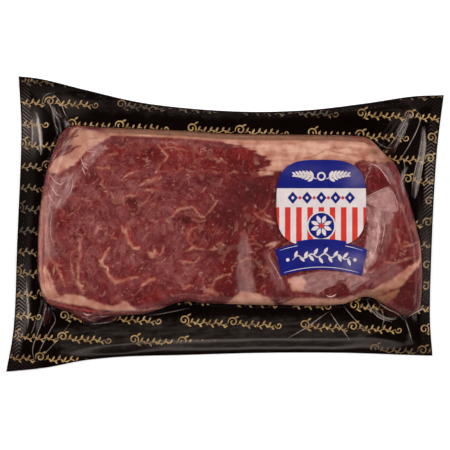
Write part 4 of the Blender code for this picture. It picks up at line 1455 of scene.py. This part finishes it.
def make_label(looks):
    """The sticker as a thin closed sheet that follows the meat, one material slot for each ink."""
    outline = label_outline()
    mesh = bmesh.new()
    mesh.faces.new([mesh.verts.new((x, y, 0)) for x, y in outline])
    low, high = outline.min(0), outline.max(0)
    bars = [BAR_WIDTH * (k + 0.5) for k in range(-9, 9)]
    levels = [FIELD_LINE, BAND_LINE, *np.arange(low[1] + 1, high[1], LABEL_CELL)]
    cuts = [((c, 0, 0), (1, 0, 0)) for c in bars] + [((0, c, 0), (0, 1, 0)) for c in levels]
    for place, normal in cuts:
        everything = [*mesh.verts, *mesh.edges, *mesh.faces]
        bmesh.ops.bisect_plane(mesh, geom=everything, plane_co=place, plane_no=normal, dist=1e-4)
    bmesh.ops.triangulate(mesh, faces=mesh.faces[:])
    mesh.verts.index_update()
    plan = np.array([vert.co[:2] for vert in mesh.verts])
    faces = [[vert.index for vert in face.verts] for face in mesh.faces]
    mesh.free()
    inks = [label_ink(*plan[face].mean(0)) for face in faces]
    placed = plan + np.array(LABEL_CENTRE)
    lying = label_height(placed)
    count = len(plan)
    points = np.concatenate([np.column_stack([placed, lying + LABEL_THICKNESS]),
                             np.column_stack([placed, lying])])
    skins = faces + [[n + count for n in reversed(face)] for face in faces]
    pairs = {(a, b) for face in faces for a, b in zip(face, face[1:] + face[:1])}
    rim = [[b, a, a + count, b + count] for a, b in sorted(pairs) if (b, a) not in pairs]
    piece = mesh_piece("badge_label", points, skins + rim, looks[0], {"sheen": label_sheen(points)})
    set_looks(piece, looks, inks + [1] * (len(faces) + len(rim)))
    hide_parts("label")
    return piece


def laurel():
    """Two cream sprays and a ring in the blue field."""
    shapes = []
    for side in (-1, 1):
        def place(t):
            return side * (2.4 + 11.6 * t), LAUREL_LEVEL + 5.2 * t - 3.4 * t * t

        shapes.append((CREAM, 0, pen([place(t) for t in np.linspace(0, 1, 14)], 0.6)))
        for k in range(6):
            x, y = place(0.14 + 0.155 * k)
            size = 1 - 0.07 * k
            shapes.append((CREAM, 0, leaf(x, y, 90 - side * (28 + 5 * k), 4.2 * size, 1.7 * size)))
            shapes.append((CREAM, 0, leaf(x, y, -90 + side * (58 + 4 * k), 3.6 * size, 1.5 * size)))
    return [*shapes, (CREAM, 0, disc(0, RING_LEVEL, 2.3)), (BLUE, 1, disc(0, RING_LEVEL, 1.4))]


def diamonds():
    """Blue diamonds in the cream band, with red dots between them."""
    shapes = []
    for k in range(-2, 3):
        x = DIAMOND_PITCH * k
        shapes += [(BLUE, 0, lozenge(x, DIAMOND_LEVEL, 5.4, 6.4)),
                   (CREAM, 1, lozenge(x, DIAMOND_LEVEL, 1.7, 2.0))]
    return shapes + [(RED, 0, disc(DIAMOND_PITCH * (k + 0.5), DIAMOND_LEVEL, 0.85)) for k in range(-2, 2)]


def rosette():
    """A blue rosette with a cream border and eight petals over the bars."""
    shapes = [(CREAM, 0, disc(0, ROSETTE_LEVEL, 7.4)), (BLUE, 1, disc(0, ROSETTE_LEVEL, 6.7)),
              (RED, 3, disc(0, ROSETTE_LEVEL, 1.3))]
    for k in range(8):
        turn = 45 * k + 22.5
        x, y = 1.3 * math.cos(math.radians(turn)), ROSETTE_LEVEL + 1.3 * math.sin(math.radians(turn))
        shapes.append((CREAM, 2, leaf(x, y, turn, 4.4, 2.1)))
    return shapes


def banner_spray():
    """Two rules, a waving stem, its leaves and two dots on the banner."""
    middle = BANNER_TOP - BANNER_HEIGHT / 2

    def stem(x):
        return banner_edge(x, middle) + SPRAY_WAVE * math.sin(SPRAY_WAVE * x)

    shapes = []
    for level, reach in ((BANNER_TOP - 1.2, 21.6), (BANNER_TOP - BANNER_HEIGHT + 1.2, 19.4)):
        rule = [(x, banner_edge(x, level)) for x in np.linspace(-reach, reach, 30)]
        shapes.append((CREAM, 0, pen(rule, 0.3)))
    shapes.append((CREAM, 0, pen([(x, stem(x)) for x in np.linspace(-15, 15, 60)], 0.6)))
    for k in range(12):
        x = -13.8 + 2.5 * k
        shapes.append((CREAM, 0, leaf(x, stem(x), (58, -58)[k % 2] - 0.9 * x, 4.0, 1.6)))
    return shapes + [(CREAM, 0, disc(x, banner_edge(x, middle), 0.9)) for x in (-17.4, 17.4)]


def label_print_shapes():
    """The label's printed ornaments: the ink, how many shapes lie under it, and the shape."""
    foot = label_outline()[0][0] - 0.9
    junction = np.array([(x, banner_edge(x, BANNER_TOP - 0.3)) for x in np.linspace(-foot, foot, 30)])
    joint = (BLUE, 2, (junction, np.full(len(junction), 3.0)))
    return [joint, *laurel(), *diamonds(), *rosette(), *banner_spray()]


def make_label_print(looks):
    """The ornaments as flat shapes just over the label."""
    points, faces, inks = [], [], []
    for ink, under, shape in label_print_shapes():
        edges = shape_edges(shape) + np.array(LABEL_CENTRE)
        lying = label_height(edges) + LABEL_THICKNESS + LIFT + LIFT * under
        new = strip_faces(len(points), len(shape[0]))
        points += np.column_stack([edges, lying]).tolist()
        faces += new
        inks += [ink] * len(new)
    points = np.array(points)
    piece = mesh_piece("label_print", points, faces, looks[0], {"sheen": label_sheen(points)})
    set_looks(piece, looks, inks)
    return piece


# Studio

# The height in metres at which the photograph's frame is as wide as the camera sees.
CAMERA_FOCUS = 0.010


def area_light(name, place, size, power):
    """A soft rectangular light aimed at the pack."""
    data = bpy.data.lights.new(name, "AREA")
    data.shape = "RECTANGLE"
    data.size, data.size_y = size
    data.energy = power
    lamp = add_object(name, data)
    lamp.location = place
    lamp.rotation_euler = (-Vector(place)).to_track_quat("-Z", "Y").to_euler()


def make_floor():
    """A pale floor that shines a little by itself, just under the pack."""
    look, tree, shader = new_material("pale_floor", 0.9, 0.1)
    shade = ramp(tree, object_noise(tree, 60, 3.0), [(0.3, (0.92, 0.92, 0.92, 1)),
                                                     (0.7, (0.94, 0.94, 0.94, 1))])
    feed(tree, shader, {"Base Color": shade, "Emission Color": (1, 1, 1, 1), "Emission Strength": 0.35})
    mesh = bmesh.new()
    bmesh.ops.create_grid(mesh, x_segments=4, y_segments=4, size=6.0)
    data = bpy.data.meshes.new("floor")
    mesh.to_mesh(data)
    mesh.free()
    data.materials.append(look)
    floor = add_object("floor", data)
    floor.location.z = -0.0003
    return floor


def make_studio():
    """A pale floor, soft light mostly from the two sides, and the camera straight above."""
    scene = bpy.context.scene
    floor = make_floor()
    area_light("left_box", (-1.9, 0.35, 1.45), (1.6, 0.7), 41.0)
    area_light("right_box", (1.9, 0.35, 1.45), (1.6, 0.7), 41.0)
    area_light("far_box", (0.0, 1.6, 2.3), (2.4, 1.2), 17.0)
    area_light("near_box", (0.0, -2.2, 1.35), (1.8, 0.6), 17.0)
    world = bpy.data.worlds.new("studio")
    world.use_nodes = True
    feed(world.node_tree, world.node_tree.nodes["Background"], {"Color": (1, 1, 1, 1), "Strength": 0.06})
    scene.world = world
    scene.view_settings.view_transform = "Standard"
    data = bpy.data.cameras.new("overhead")
    data.lens = 300.0
    data.sensor_width = 36.0
    data.clip_end = 50.0
    scene.camera = add_object("overhead", data)
    span = PHOTO_SIZE * PIXEL * MM
    scene.camera.location = (0, -0.0005, span * data.lens / data.sensor_width + CAMERA_FOCUS)


def main():
    """Make every piece, let it ride on the one body, and set up the studio."""
    meat = make_meat()
    back = make_back_film()
    # Each clear film's last colour is the pale one of its painted sheen.
    tight = clear_material("clear_film_tight", 0.22, (0.010, 0.35), tint(242, 186, 180))
    loose = clear_material("clear_film_loose", 0.22, (0.018, 0.5), tint(222, 202, 190))
    clear = make_clear_film(tight, loose)
    on_back, on_clear = surface_under(back), surface_under(clear)
    inks = [label_material("label_blue", tint(14, 20, 106), tint(24, 30, 122)),
            label_material("label_cream", tint(220, 205, 204), tint(231, 218, 215)),
            label_material("label_red", tint(206, 44, 36), tint(220, 60, 46))]
    pieces = [meat, back, clear, make_print(on_back), make_juice(on_back), make_label(inks),
              make_label_print(inks), ridge_strips("meat_wrinkles", MEAT_WRINKLES, on_clear, tight),
              ridge_strips("flange_folds", FLANGE_FOLDS, on_clear, loose)]
    for piece in pieces:
        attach(piece, "root")
    make_studio()


main()
